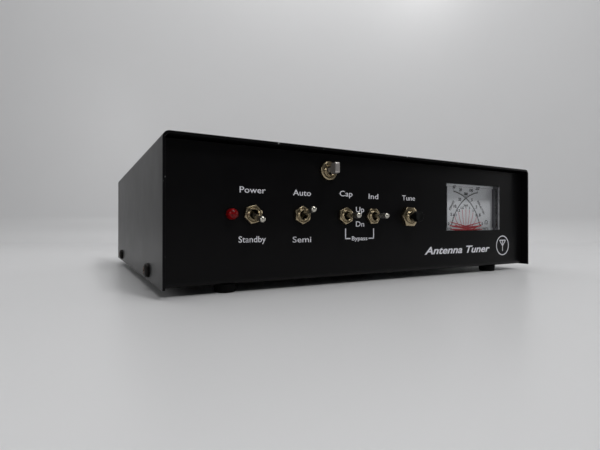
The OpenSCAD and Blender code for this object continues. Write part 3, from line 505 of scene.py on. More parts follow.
GROUP_MAKERS = {
    Effect.GRAIN: grain_group,
    Effect.WEAR: wear_group,
    Effect.DUST: dust_group,
    Effect.LINES: lines_group,
}


def effect(tree: Tree, kind: Effect, inputs: dict) -> Node:
    """Places a shared group in a material, with that material's values."""
    group = bpy.data.node_groups.get(kind.value) or GROUP_MAKERS[kind]()
    node = tree.nodes.new("ShaderNodeGroup")
    node.node_tree = group
    return fill(tree, node, inputs)


def rgba(colour: Colour) -> tuple:
    """A colour with full alpha."""
    return (*colour, 1.0)


@dataclass(frozen=True)
class Finish:
    """A finish. Colours are linear, and grain and patch are features a metre."""

    slot: str
    colour: Colour
    second: Colour
    rough: tuple = (0.35, 0.5)
    metallic: float = 0.0
    mottle: float = 0.5
    patch: float = 80.0
    grain: float = 1500.0
    bump: float = 0.15
    relief: float = 0.01
    constants: tuple = ()

    def title(self) -> str:
        """The material's name."""
        return self.slot + "_finish"

    def material(self) -> bpy.types.Material:
        """The finish's material, made the first time it is asked for."""
        found = bpy.data.materials.get(self.title())
        if found is None:
            found = bpy.data.materials.new(self.title())
            found.use_nodes = True
            found.diffuse_color = rgba(self.colour)
            self.build(found.node_tree, found.node_tree.nodes["Principled BSDF"])
        return found

    def coordinates(self, tree: Tree) -> Socket:
        """The object's own coordinates, in metres."""
        return add_node(tree, "TexCoord").outputs["Object"]

    def build(self, tree: Tree, shader: Node) -> None:
        """Lays the finish: the plain grain, unless a finish adds to it."""
        self.grained(tree, shader, self.coordinates(tree))

    def grained(self, tree: Tree, shader: Node, vector: object) -> Node:
        """Places the grain, sets the constants and wires colour, roughness and relief.

        Args:
            tree: the material's tree.
            shader: its Principled shader.
            vector: the coordinates that the grain reads.

        Returns:
            The grain's node.
        """
        inputs = {"Vector": vector, "Base": rgba(self.colour), "Second": rgba(self.second)}
        inputs |= {"Mottle": self.mottle, "Patch": self.patch, "Grain": self.grain}
        inputs |= {"Low": self.rough[0], "High": self.rough[1]}
        grain = effect(tree, Effect.GRAIN, inputs)
        constants = {"Metallic": self.metallic, **dict(self.constants)}
        fill(tree, shader, constants | {"Roughness": grain.outputs["Roughness"]})
        self.coloured(tree, shader, grain.outputs["Color"])
        self.raised(tree, shader, grain.outputs["Height"])
        return grain

    def coloured(self, tree: Tree, shader: Node, colour: Socket) -> None:
        """Feeds the shader's base colour."""
        tree.links.new(colour, shader.inputs["Base Color"])

    def raised(self, tree: Tree, shader: Node, height: object) -> None:
        """Feeds the shader's normal with a relief."""
        inputs = {"Strength": self.bump, "Distance": self.relief * MM, "Height": height}
        tree.links.new(add_node(tree, "Bump", inputs).outputs["Normal"], shader.inputs["Normal"])


@dataclass(frozen=True)
class CasePaint(Finish):
    """Baked paint on folded sheet: fine grain, a veil of dust on top, chips along the front rim."""

    chip: Colour = (0.55, 0.56, 0.58)
    dust: Colour = (0.18, 0.18, 0.18)
    dust_amount: float = 0.07
    rim_y: float = 0.0
    rim_width: float = 0.5
    chip_scale: float = 330.0
    chip_amount: float = 0.185

    def build(self, tree: Tree, shader: Node) -> None:
        """Lays the paint, then the dust, then the chips."""
        vector = self.coordinates(tree)
        grain = self.grained(tree, shader, vector)
        normal = add_node(tree, "NewGeometry").outputs["Normal"]
        settings = {"Vector": vector, "Normal": normal, "Amount": self.dust_amount}
        dust = effect(tree, Effect.DUST, settings)
        dusty = mixed(tree, dust.outputs["Mask"], grain.outputs["Color"], rgba(self.dust))
        y = add_node(tree, "SeparateXYZ", {0: vector}).outputs["Y"]
        edge = ranged(tree, y, (self.rim_y * MM, (self.rim_y + self.rim_width) * MM), (1.0, 0.0))
        inputs = {"Vector": vector, "Edge": edge, "Scale": self.chip_scale, "Amount": self.chip_amount}
        wear = effect(tree, Effect.WEAR, inputs)
        self.coloured(tree, shader, mixed(tree, wear.outputs["Mask"], dusty, rgba(self.chip)))


@dataclass(frozen=True)
class TooledMetal(Finish):
    """Metal with fine lines from a tool, closest together across the spread."""

    spread: Colour = (1.0, 1.0, 12.0)
    lines: float = 1800.0

    def build(self, tree: Tree, shader: Node) -> None:
        """Adds the lines to the grain's relief."""
        vector = self.coordinates(tree)
        grain = self.grained(tree, shader, vector)
        inputs = {"Vector": vector, "Spread": self.spread, "Scale": self.lines}
        heights = {0: grain.outputs["Height"], 1: effect(tree, Effect.LINES, inputs).outputs["Height"]}
        self.raised(tree, shader, add_node(tree, "Math", heights, operation="ADD").outputs[0])


@dataclass(frozen=True)
class WornPlate(Finish):
    """Blackened plate that a driver has worn through, where the piece's wear attribute is near one."""

    bare: Colour = (0.16, 0.09, 0.06)
    wear_scale: float = 1500.0
    wear_amount: float = 0.6

    def build(self, tree: Tree, shader: Node) -> None:
        """Shows the bare metal through the plate."""
        vector = self.coordinates(tree)
        grain = self.grained(tree, shader, vector)
        edge = add_node(tree, "Attribute", attribute_name="wear").outputs["Fac"]
        inputs = {"Vector": vector, "Edge": edge, "Scale": self.wear_scale, "Amount": self.wear_amount}
        mask = effect(tree, Effect.WEAR, inputs).outputs["Mask"]
        self.coloured(tree, shader, mixed(tree, mask, grain.outputs["Color"], rgba(self.bare)))


@dataclass(frozen=True)
class ClearPlastic(Finish):
    """Clear moulding that lets lamps through to what it covers."""

    def coloured(self, tree: Tree, shader: Node, colour: Socket) -> None:
        """Sets one colour, since clear plastic has no mottle."""
        shader.inputs["Base Color"].default_value = rgba(self.colour)

    def build(self, tree: Tree, shader: Node) -> None:
        """Mixes the shader with a Transparent one for rays from lamps and from dull surfaces."""
        self.grained(tree, shader, self.coordinates(tree))
        path = add_node(tree, "LightPath")
        inputs = {0: path.outputs["Is Shadow Ray"], 1: path.outputs["Is Diffuse Ray"]}
        either = add_node(tree, "Math", inputs, operation="MAXIMUM")
        clear = add_node(tree, "BsdfTransparent")
        inputs = {0: either.outputs[0], 1: shader.outputs[0], 2: clear.outputs[0]}
        both = add_node(tree, "MixShader", inputs)
        tree.links.new(both.outputs[0], tree.nodes["Material Output"].inputs["Surface"])


@dataclass(frozen=True)
class Laminate(Finish):
    """Circuit board: copper tracks show through the green resist as a lighter pattern of blocks."""

    track: Colour = (0.06, 0.26, 0.12)
    block_scale: float = 260.0
    track_scale: float = 90.0

    def build(self, tree: Tree, shader: Node) -> None:
        """Lays the tracks under the resist, a little raised."""
        vector = self.coordinates(tree)
        grain = self.grained(tree, shader, vector)
        inputs = {"Vector": vector, "Scale": self.block_scale, "Randomness": 0.0}
        cells = add_node(tree, "TexVoronoi", inputs, distance="CHEBYCHEV", feature="F1")
        inputs = {"Vector": cells.outputs["Position"], "Scale": self.track_scale, "Detail": 0.0}
        wave = add_node(tree, "TexNoise", inputs)
        mask = ranged(tree, wave.outputs["Fac"], (0.5, 0.52))
        self.coloured(tree, shader, mixed(tree, mask, grain.outputs["Color"], rgba(self.track)))
        self.raised(tree, shader, mask)


FRONT_Y = float(box_mm("cover")[0][1])
METALS = {"metallic": 1.0, "grain": 2500.0, "patch": 220.0}
PLASTICS = {"grain": 1800.0, "patch": 120.0, "relief": 0.006}

FINISHES = {
    f.slot: f
    for f in (
        CasePaint("black_paint", (0.0028, 0.0026, 0.003), (0.004, 0.0038, 0.0042), (0.31, 0.35),
                  grain=2600.0, patch=60.0, bump=0.22, rim_y=FRONT_Y,
                  constants=(("Specular IOR Level", 0.13),)),
        WornPlate("dark_screw", (0.011, 0.0095, 0.0085), (0.02, 0.016, 0.013), (0.35, 0.5),
                  constants=(("Specular IOR Level", 0.25),), **METALS | {"metallic": 0.3}),
        Finish("foot_rubber", (0.0025, 0.0025, 0.0025), (0.004, 0.004, 0.004), (0.7, 0.85), bump=0.35,
               relief=0.02, constants=(("Specular IOR Level", 0.08),)),
        Laminate("board_laminate", (0.016, 0.11, 0.045), (0.02, 0.13, 0.055), (0.25, 0.35), relief=0.03),
        TooledMetal("plated_brass", (0.66, 0.63, 0.54), (0.52, 0.49, 0.4), (0.25, 0.38), **METALS),
        Finish("zinc_steel", (0.5, 0.5, 0.51), (0.4, 0.41, 0.43), (0.28, 0.45), **METALS),
        Finish("relay_case", (0.02, 0.02, 0.024), (0.028, 0.028, 0.032), (0.35, 0.5), **PLASTICS),
        Finish("core_paint", (0.36, 0.03, 0.022), (0.28, 0.024, 0.018), (0.4, 0.55), grain=1200.0,
               bump=0.3),
        Finish("enamelled_copper", (0.6, 0.22, 0.08), (0.48, 0.15, 0.05), (0.2, 0.32),
               **METALS | {"metallic": 0.9}),
        Finish("capacitor_resin", (0.42, 0.15, 0.035), (0.34, 0.11, 0.025), (0.2, 0.35), **PLASTICS),
        Finish("chip_resin", (0.016, 0.016, 0.017), (0.022, 0.022, 0.023), (0.45, 0.6), **PLASTICS),
        TooledMetal("crystal_can", (0.62, 0.62, 0.63), (0.5, 0.5, 0.52), (0.16, 0.3), **METALS),
        TooledMetal("heatsink_aluminium", (0.48, 0.48, 0.5), (0.42, 0.42, 0.44), (0.35, 0.5), **METALS),
        Finish("ferrite", (0.07, 0.07, 0.075), (0.1, 0.1, 0.105), (0.5, 0.7), bump=0.4, relief=0.02),
        Finish("capacitor_sleeve", (0.014, 0.02, 0.09), (0.02, 0.028, 0.12), (0.18, 0.3), **PLASTICS),
        Finish("trimmer_plastic", (0.018, 0.08, 0.32), (0.024, 0.1, 0.38), (0.3, 0.42), **PLASTICS),
        Finish("black_nylon", (0.014, 0.014, 0.015), (0.02, 0.02, 0.021), (0.35, 0.5), **PLASTICS),
        Finish("natural_nylon", (0.62, 0.59, 0.5), (0.55, 0.52, 0.43), (0.4, 0.55), **PLASTICS),
        Finish("wire_insulation", (0.24, 0.24, 0.26), (0.2, 0.2, 0.22), (0.35, 0.5), **PLASTICS),
        Finish("lead_insulation", (0.45, 0.035, 0.024), (0.38, 0.03, 0.02), (0.35, 0.5), **PLASTICS),
        Finish("socket_nickel", (0.56, 0.54, 0.49), (0.44, 0.42, 0.38), (0.2, 0.36), **METALS),
        Finish("socket_insulator", (0.74, 0.72, 0.66), (0.68, 0.65, 0.58), (0.35, 0.5), **PLASTICS),
        TooledMetal("contact_gilt", (0.78, 0.55, 0.22), (0.66, 0.44, 0.16), (0.2, 0.32), **METALS),
        Finish("contact_nickel", (0.66, 0.65, 0.61), (0.55, 0.54, 0.5), (0.15, 0.28), **METALS),
        # The meter housing is black plastic, but its colour is lifted to a grey-purple: a painted reflection
        # of the clear front on the housing's inner walls, seen through the window.
        Finish("meter_plastic", (0.1, 0.094, 0.108), (0.12, 0.113, 0.13), (0.4, 0.55), **PLASTICS),
        ClearPlastic("clear_plastic", (0.96, 0.98, 0.98), (0.96, 0.98, 0.98), (0.02, 0.06), bump=0.02,
                     constants=(("Transmission Weight", 1.0), ("IOR", 1.49))),
        Finish("dial_paint", (0.86, 0.86, 0.89), (0.82, 0.82, 0.85), (0.45, 0.6), bump=0.08, patch=50.0),
        Finish("magnet_steel", (0.25, 0.25, 0.27), (0.2, 0.2, 0.21), (0.45, 0.6), **METALS),
        TooledMetal("terminal_brass", (0.62, 0.42, 0.14), (0.5, 0.33, 0.1), (0.25, 0.4), **METALS),
        Finish("needle_paint", (0.55, 0.022, 0.02), (0.48, 0.02, 0.018), (0.35, 0.45), **PLASTICS),
        Finish("switch_resin", (0.3, 0.03, 0.022), (0.25, 0.025, 0.02), (0.3, 0.45), **PLASTICS),
        TooledMetal("bushing_nickel", (0.46, 0.38, 0.25), (0.33, 0.26, 0.16), (0.2, 0.34), **METALS),
        Finish("terminal_tin", (0.52, 0.5, 0.44), (0.42, 0.4, 0.35), (0.35, 0.5), **METALS),
        Finish("lever_chrome", (0.56, 0.54, 0.48), (0.43, 0.41, 0.36), (0.22, 0.34), **METALS),
        Finish("button_plastic", (0.002, 0.002, 0.002), (0.003, 0.003, 0.003), (0.3, 0.4),
               constants=(("Specular IOR Level", 0.16),), **PLASTICS),
        TooledMetal("spring_steel", (0.45, 0.45, 0.47), (0.35, 0.35, 0.37), (0.25, 0.4), **METALS),
        Finish("lamp_resin", (0.26, 0.0008, 0.0025), (0.07, 0.0004, 0.0012), (0.22, 0.34), patch=900.0,
               mottle=0.9, bump=0.03, constants=(("Specular IOR Level", 0.22),)),
    )
}


@dataclass(frozen=True)
class Ink(Finish):
    """A finish of its own name, with an empty slot where the record has none for it."""

    name: str = "ink"

    def title(self) -> str:
        """The material's name."""
        return self.name


WHITE_INK = Ink("", (0.9, 0.9, 0.95), (0.8, 0.8, 0.85), (0.5, 0.65), grain=3500.0, patch=900.0,
                mottle=0.8, name="white_ink")
BLACK_INK = Ink("", (0.03, 0.03, 0.034), (0.05, 0.05, 0.055), (0.5, 0.65), name="black_ink")
SATIN_PADDLE = Ink("lever_chrome", (0.55, 0.52, 0.5), (0.46, 0.43, 0.41), (0.36, 0.48), metallic=0.85,
                   patch=300.0, name="satin_paddle")
RED_INK = Ink("", (0.62, 0.045, 0.06), (0.52, 0.035, 0.05), (0.5, 0.65), name="red_ink")
PINK_INK = Ink("", (0.6, 0.13, 0.17), (0.55, 0.1, 0.14), (0.5, 0.65), name="pale_red_ink")


# ---- Pieces -----------------------------------------------------------------------------------------


@dataclass
class Piece:
    """A finished piece: its shells, the body that it rides on and what it stands for."""

    name: str
    body: str
    finish: Finish
    shells: list
    stands_for: tuple = ()
    crease: float = 32.0
    bevel: float = 0.0
    wear: Callable[[np.ndarray], np.ndarray] | None = None

    def add(self) -> bpy.types.Object:
        """Makes the mesh in metres, closes it, dresses it and lets it ride."""
        points = np.concatenate([s.points for s in self.shells]) * MM
        faces, start = [], 0
        for s in self.shells:
            faces += [tuple(start + i for i in face) for face in s.faces]
            start += len(s.points)
        mesh = bpy.data.meshes.new(self.name)
        mesh.from_pydata(points.tolist(), [], faces)
        close(mesh)
        if self.wear is not None:
            co = np.zeros(len(mesh.vertices) * 3)
            mesh.vertices.foreach_get("co", co)
            values = self.wear(co.reshape(-1, 3) / MM).astype(np.float32)
            mesh.attributes.new("wear", "FLOAT", "POINT").data.foreach_set("value", values)
        return self.dress(mesh)

    def dress(self, mesh: bpy.types.Mesh) -> bpy.types.Object:
        """Links a finished mesh as this piece's object.

        Args:
            mesh: in the row frame, in metres.

        Returns:
            The object, at the origin.
        """
        smooth(mesh, self.crease)
        mesh.materials.clear()
        mesh.materials.append(self.finish.material())
        piece = bpy.data.objects.new(self.name, mesh)
        bpy.context.scene.collection.objects.link(piece)
        if self.bevel:
            ease = piece.modifiers.new("eased_edges", "BEVEL")
            ease.width = self.bevel * MM
            ease.segments = 2
            ease.limit_method = "ANGLE"
            ease.angle_limit = math.radians(40)
            ease.harden_normals = True
        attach(piece, self.body)
        if self.stands_for:
            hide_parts(*self.stands_for)
        LOG.info("%s: %d faces on %s", self.name, len(mesh.polygons), self.body)
        return piece


def make(name: str, finish: Finish, shells: list, *nodes: str, body: str = "case",
         **more: object) -> object:
    """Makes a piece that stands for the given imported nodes, and returns its object."""
    return Piece(name, body, finish, shells, nodes, **more).add()


def close(mesh: bpy.types.Mesh) -> None:
    """Merges the points that meet at seams and poles, and turns every face outwards."""
    work = bmesh.new()
    work.from_mesh(mesh)
    bmesh.ops.remove_doubles(work, verts=work.verts, dist=0.0015 * MM)
    bmesh.ops.recalc_face_normals(work, faces=work.faces)
    work.to_mesh(mesh)
    work.free()


def smooth(mesh: bpy.types.Mesh, crease: float) -> None:
    """Shades a mesh smooth except across edges sharper than the crease, in degrees."""
    mesh.shade_smooth()
    mesh.set_sharp_from_angle(angle=math.radians(crease))


def refined(node: str, name: str, bevel: float) -> bpy.types.Object:
    """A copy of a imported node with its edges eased, which stands for the node.

    Args:
        node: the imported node.
        name: the new piece's name.
        bevel: width of the eased edges, in millimetres.

    Returns:
        The new object.
    """
    cad = frame["nodes"][node]
    mesh = cad.data.copy()
    work = bmesh.new()
    work.from_mesh(mesh)
    bmesh.ops.remove_doubles(work, verts=work.verts, dist=0.001 * MM)
    bmesh.ops.dissolve_limit(work, angle_limit=math.radians(0.4), verts=work.verts, edges=work.edges)
    bmesh.ops.recalc_face_normals(work, faces=work.faces)
    work.to_mesh(mesh)
    work.free()
    mesh.name = name
    piece = Piece(name, cad["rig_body"], FINISHES[slot_of(node)], [], (node,), bevel=bevel)
    return piece.dress(mesh)


def slot_of(node: str) -> str:
    """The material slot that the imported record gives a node."""
    return next(s["material_slot"] for s in frame["record"]["subparts"] if s["node"] == node)


def dress_nodes() -> None:
    """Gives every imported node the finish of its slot."""
    for node, piece in frame["nodes"].items():
        finish = FINISHES[slot_of(node)]
        piece.data.materials.clear()
        piece.data.materials.append(finish.material())
        LOG.info("%s: %s", node, finish.slot)


# ---- Lettering --------------------------------------------------------------------------------------


@dataclass(frozen=True)
class Legend:
    """A printed word: its left and right ends, the height of its base line and of its capitals."""

    text: str
    left: float
    right: float
    base: float
    cap: float = 3.0
    slant: float = 0.0
    bold: float = 0.004
    lean: float = 0.0

    def shell(self, depth: float) -> Shell:
        """The word's letters as a shell on the XY plane, with that thickness."""
        letters = glyphs(self.text, self.bold, self.slant)
        span = letters.points[:, 0]
        wide = (self.right - self.left) / (span.max() - span.min())
        tall = self.cap / CAP_HEIGHT
        shift = np.array([-span.min(), 0.0, 0.0])
        flat = letters.moved(lambda p: (p + shift) * np.array([wide, tall, depth]))
        c, s = math.cos(math.radians(self.lean)), math.sin(math.radians(self.lean))
        turn = np.array([[c, s, 0], [-s, c, 0], [0, 0, 1]])
        return flat.moved(lambda p: p @ turn + np.array([self.left, self.base, 0.0]))


CAP_HEIGHT = 0.73


def glyphs(text: str, bold: float, slant: float) -> Shell:
    """Letters of the built-in font at size one, from z = 0 to z = 1.

    Args:
        text: what to set.
        bold: how far the outlines are moved outwards.
        slant: the shear of an italic.

    Returns:
        The letters.
    """
    curve = bpy.data.curves.new("letters", "FONT")
    curve.body, curve.size, curve.offset, curve.shear = text, 1.0, bold, slant
    curve.extrude, curve.resolution_u = 0.5, 3
    holder = bpy.data.objects.new("letters", curve)
    bpy.context.scene.collection.objects.link(holder)
    bpy.context.view_layer.update()
    mesh = bpy.data.meshes.new_from_object(holder.evaluated_get(bpy.context.evaluated_depsgraph_get()))
    co = np.zeros(len(mesh.vertices) * 3)
    mesh.vertices.foreach_get("co", co)
    faces = [tuple(p.vertices) for p in mesh.polygons]
    for thing, store in ((holder, bpy.data.objects), (curve, bpy.data.curves), (mesh, bpy.data.meshes)):
        store.remove(thing)
    return Shell(co.reshape(-1, 3) + np.array([0, 0, 0.5]), faces)


def words(seat: Seat, legends: Iterable[Legend], depth: float) -> list:
    """The shells of several legends at one seat."""
    return [seat.put(one.shell(depth)) for one in legends]


# ---- The case ---------------------------------------------------------------------------------------


@dataclass
class ScrewHead:
    """A pan head with a cross recess, drawn about the origin with its shank below."""

    head_d: float
    head_h: float
    shank_d: float
    shank_l: float
    count: int = 64
    arm_share: float = 0.075
    reach_share: float = 0.29

    def shell(self, turn: float) -> Shell:
        """The screw.

        The head's height at radius r is a quarter ellipse, less the recess: the depth times how far the
        point is inside either arm of the cross, whose walls slope.

        Args:
            turn: how far the cross is turned, in degrees.
        """
        r = np.linspace(1, 0.0, 26)[:, None] ** 0.8 * self.head_d / 2
        a = angles(self.count)[None, :]
        dome = self.head_h * (0.35 + 0.65 * np.sqrt(np.clip(1 - (r / (self.head_d / 2)) ** 2.6, 0, 1)))
        x, y = np.abs(r * np.cos(a)), np.abs(r * np.sin(a))
        arm, reach = self.head_d * self.arm_share, self.head_d * self.reach_share
        across, along = arm - np.minimum(x, y), reach - np.maximum(x, y)
        inside = np.minimum(across / (0.55 * arm), along / (0.8 * arm))
        centre = np.clip((reach * 0.55 - r) / (reach * 0.5), 0, 1)
        cut = np.clip(inside, 0, 1) * self.head_h * (0.38 + 0.3 * centre)
        edge = self.head_d / 2
        rim = [(0.0, -self.shank_l), (self.shank_d / 2, -self.shank_l), (self.shank_d / 2, 0.0)]
        rim += [(edge - 0.08, 0.0), (edge, 0.08)]
        levels = rim + [(np.broadcast_to(r[i], (self.count,)), (dome - cut)[i]) for i in range(len(r))]
        return stacked(levels, self.count, turn, closed=False)


@dataclass
class Case:
    """Cover, chassis, side screws and feet."""

    sheet_bevel: float = 0.18
    screw: ScrewHead = field(default_factory=lambda: ScrewHead(7.0, 2.3, 3.4, 8.0))
    screw_turns: tuple = (12, 51, 33, 74)
    foot_taper: float = 0.5
    sole_depth: float = 0.5

    def side_seats(self) -> list:
        """Seats of the four side screws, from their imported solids."""
        low, high = box_mm("cover_screws")
        cover_low, cover_high = box_mm("cover")
        half = self.screw.head_d / 2
        rows = (low[1] + half, high[1] - half)
        z = (low[2] + high[2]) / 2
        left = [Seat(cover_low[0], y, z, Facing.LEFT) for y in rows]
        return left + [Seat(cover_high[0], y, z, Facing.RIGHT) for y in rows]

    def build_screws(self) -> None:
        """Makes the side screws, worn brown about their recesses."""
        seats = self.side_seats()
        shells = [s.put(self.screw.shell(turn)) for s, turn in zip(seats, self.screw_turns)]
        centres = np.array([[s.y, s.z] for s in seats])

        def wear(points: np.ndarray) -> np.ndarray:
            """One at a screw's axis, falling to none at its rim."""
            away = np.linalg.norm(points[:, None, 1:] - centres[None], axis=2).min(1)
            return np.clip(1.15 - away / (self.screw.head_d * 0.42), 0, 1)

        make("side_screws", FINISHES["dark_screw"], shells, "cover_screws", wear=wear)

    def build_feet(self) -> None:
        """Makes the feet: tapered rubber with a rounded edge and a dished sole."""
        low, high = box_mm("rubber_feet")
        height, r = high[2] - low[2], self.foot_diameter(low, high) / 2
        taper, dish = self.foot_taper, height - self.sole_depth
        profile = [(0, 0), (r, 0), (r - taper / 2, height * 0.45), (r - taper, height)]
        profile += [(r * 0.45, height), (r * 0.4, dish), (0, dish)]
        shells = []
        for x in (low[0] + r, high[0] - r):
            for y in (low[1] + r, high[1] - r):
                shells.append(Seat(x, y, high[2], Facing.DOWN).put(turned(profile, 0.35, count=48)))
        make("case_feet", FINISHES["foot_rubber"], shells, "rubber_feet")

    def foot_diameter(self, low: np.ndarray, high: np.ndarray) -> float:
        """Diameter of a foot, from the face under the left front one."""
        co = np.array([v.co for v in frame["nodes"]["rubber_feet"].data.vertices]) / MM
        near = co[(co[:, 0] < (low[0] + high[0]) / 2) & (co[:, 1] < (low[1] + high[1]) / 2)]
        return float(np.ptp(near[:, 0]))

    def build(self) -> None:
        """Makes the whole case."""
        refined("cover", "cover_shell", self.sheet_bevel)
        refined("chassis", "chassis_shell", self.sheet_bevel)
        self.build_screws()
        self.build_feet()


# ---- Printing on the panels -------------------------------------------------------------------------


@dataclass
class PanelPrint:
    """Legends on the front and rear panels. Places are from the cover's left side and lower edge."""

    ink_depth: float = 0.03
    legends: tuple = (
        Legend("Power", 34.8, 47.8, 42.0),
        Legend("Standby", 34.3, 47.9, 19.0),
        Legend("Auto", 62.5, 72.7, 41.7),
        Legend("Semi", 62.3, 72.8, 18.5),
        Legend("Cap", 90.2, 98.4, 42.3),
        Legend("Ind", 109.3, 116.0, 41.5),
        Legend("Up", 100.7, 106.2, 34.1),
        Legend("Dn", 100.7, 106.2, 26.3),
        Legend("Bypass", 98.0, 108.4, 18.9, 2.3, bold=0.008),
        Legend("Tune", 133.6, 143.6, 41.5),
        Legend("Antenna Tuner", 151.4, 211.4, 9.6, 4.6, slant=0.28, bold=0.022),
    )
    bracket_x: tuple = (93.9, 112.7)
    bracket_z: tuple = (19.9, 25.3)
    bracket_in: tuple = (97.1, 109.1)
    badge: tuple = (224.8, 13.4)
    badge_r: float = 6.4
    line: float = 0.6
    rear_cap: float = 2.6
    socket_away: float = 20.0
    rear_words: tuple = (
        ("Antenna", 14.5, 15.0),
        ("Radio", 10.5, 15.0),
        ("12 V DC", 13.0, 15.0),
        ("Ground", 13.0, 26.5),
    )

    def bracket(self) -> list:
        """Two bent lines that join the paired switches to their legend."""
        (x0, x1), (z0, z1), (in0, in1) = self.bracket_x, self.bracket_z, self.bracket_in
        left = np.array([(x0, z1), (x0, z0), (in0, z0)])
        right = np.array([(x1, z1), (x1, z0), (in1, z0)])
        bars = []
        for bend in (left, right):
            bars.append(stroke(bend[:2] - [[0, 0], [0, self.line / 2]], self.line, self.ink_depth))
            bars.append(stroke(bend[1:], self.line, self.ink_depth))
        return bars

    def badge_shells(self) -> list:
        """A plain ring round the drawing sign of an aerial: a mast with a triangle on it."""
        x, z = self.badge
        r = self.badge_r
        line = self.line * 1.1
        ring = stroke(arc((x, z), r, 0, 360 - 7.5, 48), line, self.ink_depth, loop=True)
        corners = [(x - r * 0.5, z + r * 0.55), (x + r * 0.5, z + r * 0.55), (x, z - r * 0.05)]
        bars = [[(x, z - r * 0.6), (x, z + r * 0.55)]]
        bars += [[corners[i], corners[(i + 1) % 3]] for i in range(3)]
        return [ring, *(stroke(bar, line, self.ink_depth) for bar in bars)]

    def rear_legends(self) -> list:
        """Plain words by the rear fittings, turned half round so that they read from behind.

        Each rear word has its width and its height on the panel.
        """
        low, high = box_mm("cover")[0], box_mm("chassis")[1]
        fittings = ("rf_socket_contacts", "power_inlet", "ground_stud")
        sockets, inlet, stud = (middle(node)[0] for node in fittings)
        places = (sockets - self.socket_away, sockets + self.socket_away, inlet, stud)
        shells = []
        for x, (text, width, level) in zip(places, self.rear_words):
            letters = Legend(text, -width / 2, width / 2, 0.0, self.rear_cap).shell(self.ink_depth)
            upright = leaned(letters, 180, 2)
            shells.append(Seat(x, high[1], low[2] + level, Facing.REAR).put(upright))
        return shells

    def build(self) -> None:
        """Prints both panels."""
        low, _ = box_mm("cover")
        panel_y = box_mm("chassis")[0][1]
        seat = Seat(low[0], panel_y, low[2], Facing.FRONT)
        flat = self.bracket() + self.badge_shells()
        shells = words(seat, self.legends, self.ink_depth) + [seat.put(s) for s in flat]
        make("front_legends", WHITE_INK, shells)
        make("rear_legends", WHITE_INK, self.rear_legends())


# ---- Switches, button and lamp ----------------------------------------------------------------------


@dataclass
class HexNut:
    """A hexagonal nut with chamfered corners and a countersunk bore, lying on the XY plane."""

    flats: float
    thick: float
    bore_d: float
    turn: float = 0.0
    count: int = 96
    slope: float = 0.55
    sink: float = 0.3

    def shell(self) -> Shell:
        """The nut.

        A cone cuts the prism's corners: where the hexagon's radius is R, the wall ends at
        t - slope (R - r), with r just inside the flats.
        """
        flat = hexagon(self.flats, self.count)
        inner = self.flats / 2 * 0.96
        top = self.thick - self.slope * (flat - inner)
        foot = 0.35 * self.slope * (flat - inner)
        bore, sink = self.bore_d / 2, self.sink
        levels = [(inner, 0.0), (flat, foot), (flat, top), (inner, self.thick)]
        levels += [(bore + sink, self.thick), (bore, self.thick - sink)]
        levels += [(bore, sink), (bore + sink, 0.0)]
        return stacked(levels, self.count, self.turn)


def base_plate(bore: float, width: float, length: float, back: float, thick: float) -> Shell:
    """The plate behind a bushing: a thin block with round corners about the bore."""
    count = 72
    plate, low = rectangle(width, length, 0.5, count), -back - thick
    levels = [(bore, low), (plate - 0.1, low), (plate, low + 0.1), (plate, -back), (bore, -back)]
    return stacked(levels, count)


@dataclass
class ToggleSwitch:
    """A miniature toggle switch's bushing and its bat lever."""

    name: str
    joint: str
    tilt: float
    thread_d: float = 6.3
    pitch: float = 0.635
    thread_cut: float = 0.24
    bore_d: float = 4.4
    out: float = 3.0
    back: float = 5.9
    plate_t: float = 0.8
    body_w: float = 6.8
    body_l: float = 12.8
    ball_d: float = 3.8
    tip_d: float = 3.0
    reach: float = 14.5
    tail: float = 7.2
    waist_r: float = 1.1

    def seat(self) -> Seat:
        """The seat on the panel's face, in line with the lever's pivot."""
        x, _, z = pivot(self.joint)
        return Seat(x, box_mm("chassis")[0][1], z, Facing.FRONT)

    def bushing(self) -> list:
        """Threaded bushing with a chamfered mouth, and the plate behind it."""
        count, r, bore = 72, self.thread_d / 2, self.bore_d / 2
        levels = [(bore, -self.back), (r - 0.3, -self.back)]
        levels += thread(r, self.thread_cut, self.pitch, -self.back + 0.2, self.out - 0.25, count)
        levels += [(r - 0.3, self.out - 0.12), (r - 0.42, self.out)]
        levels += [(bore + 0.3, self.out), (bore, self.out - 0.3)]
        plate = base_plate(bore, self.body_w, self.body_l, self.back, self.plate_t)
        return [stacked(levels, count), plate]

    def lever(self) -> Shell:
        """Bat lever turned from rod: tail, pivot ball, waist, bat and rounded tip.

        Ball and tip are arcs; the waist swells into the bat along a cosine.
        """
        ball, tip = self.ball_d / 2, self.tip_d / 2
        tip_z = self.reach - tip
        a = np.radians(np.linspace(-62, 50, 18))
        rows = [(0, -self.tail), (0.75, -self.tail), (0.9, -self.tail + 0.2), (0.9, -ball * 0.95)]
        rows += list(zip(ball * np.cos(a), ball * np.sin(a)))
        t = np.linspace(0, 1, 16)
        waist, start = self.waist_r, ball * math.sin(math.radians(50)) + 0.6
        swell = waist + (tip - waist) * (0.5 - 0.5 * np.cos(math.pi * np.clip(t * 1.25 - 0.25, 0, 1)))
        rows += list(zip(swell, start + (tip_z - start) * t))
        b = np.radians(np.linspace(6, 90, 14))
        rows += list(zip(tip * np.cos(b), tip_z + tip * np.sin(b)))
        return spun(rows, 48)

    def build_lever(self) -> None:
        """Makes the lever at its pivot, on its own body."""
        x, y, z = pivot(self.joint)
        shells = [Seat(x, y, z, Facing.FRONT).put(leaned(self.lever(), -self.tilt, 0))]
        name, body, chrome = self.name + "_bat", self.name + "_toggle", FINISHES["lever_chrome"]
        make(name, chrome, shells, self.name + "_lever", body=body, crease=50)


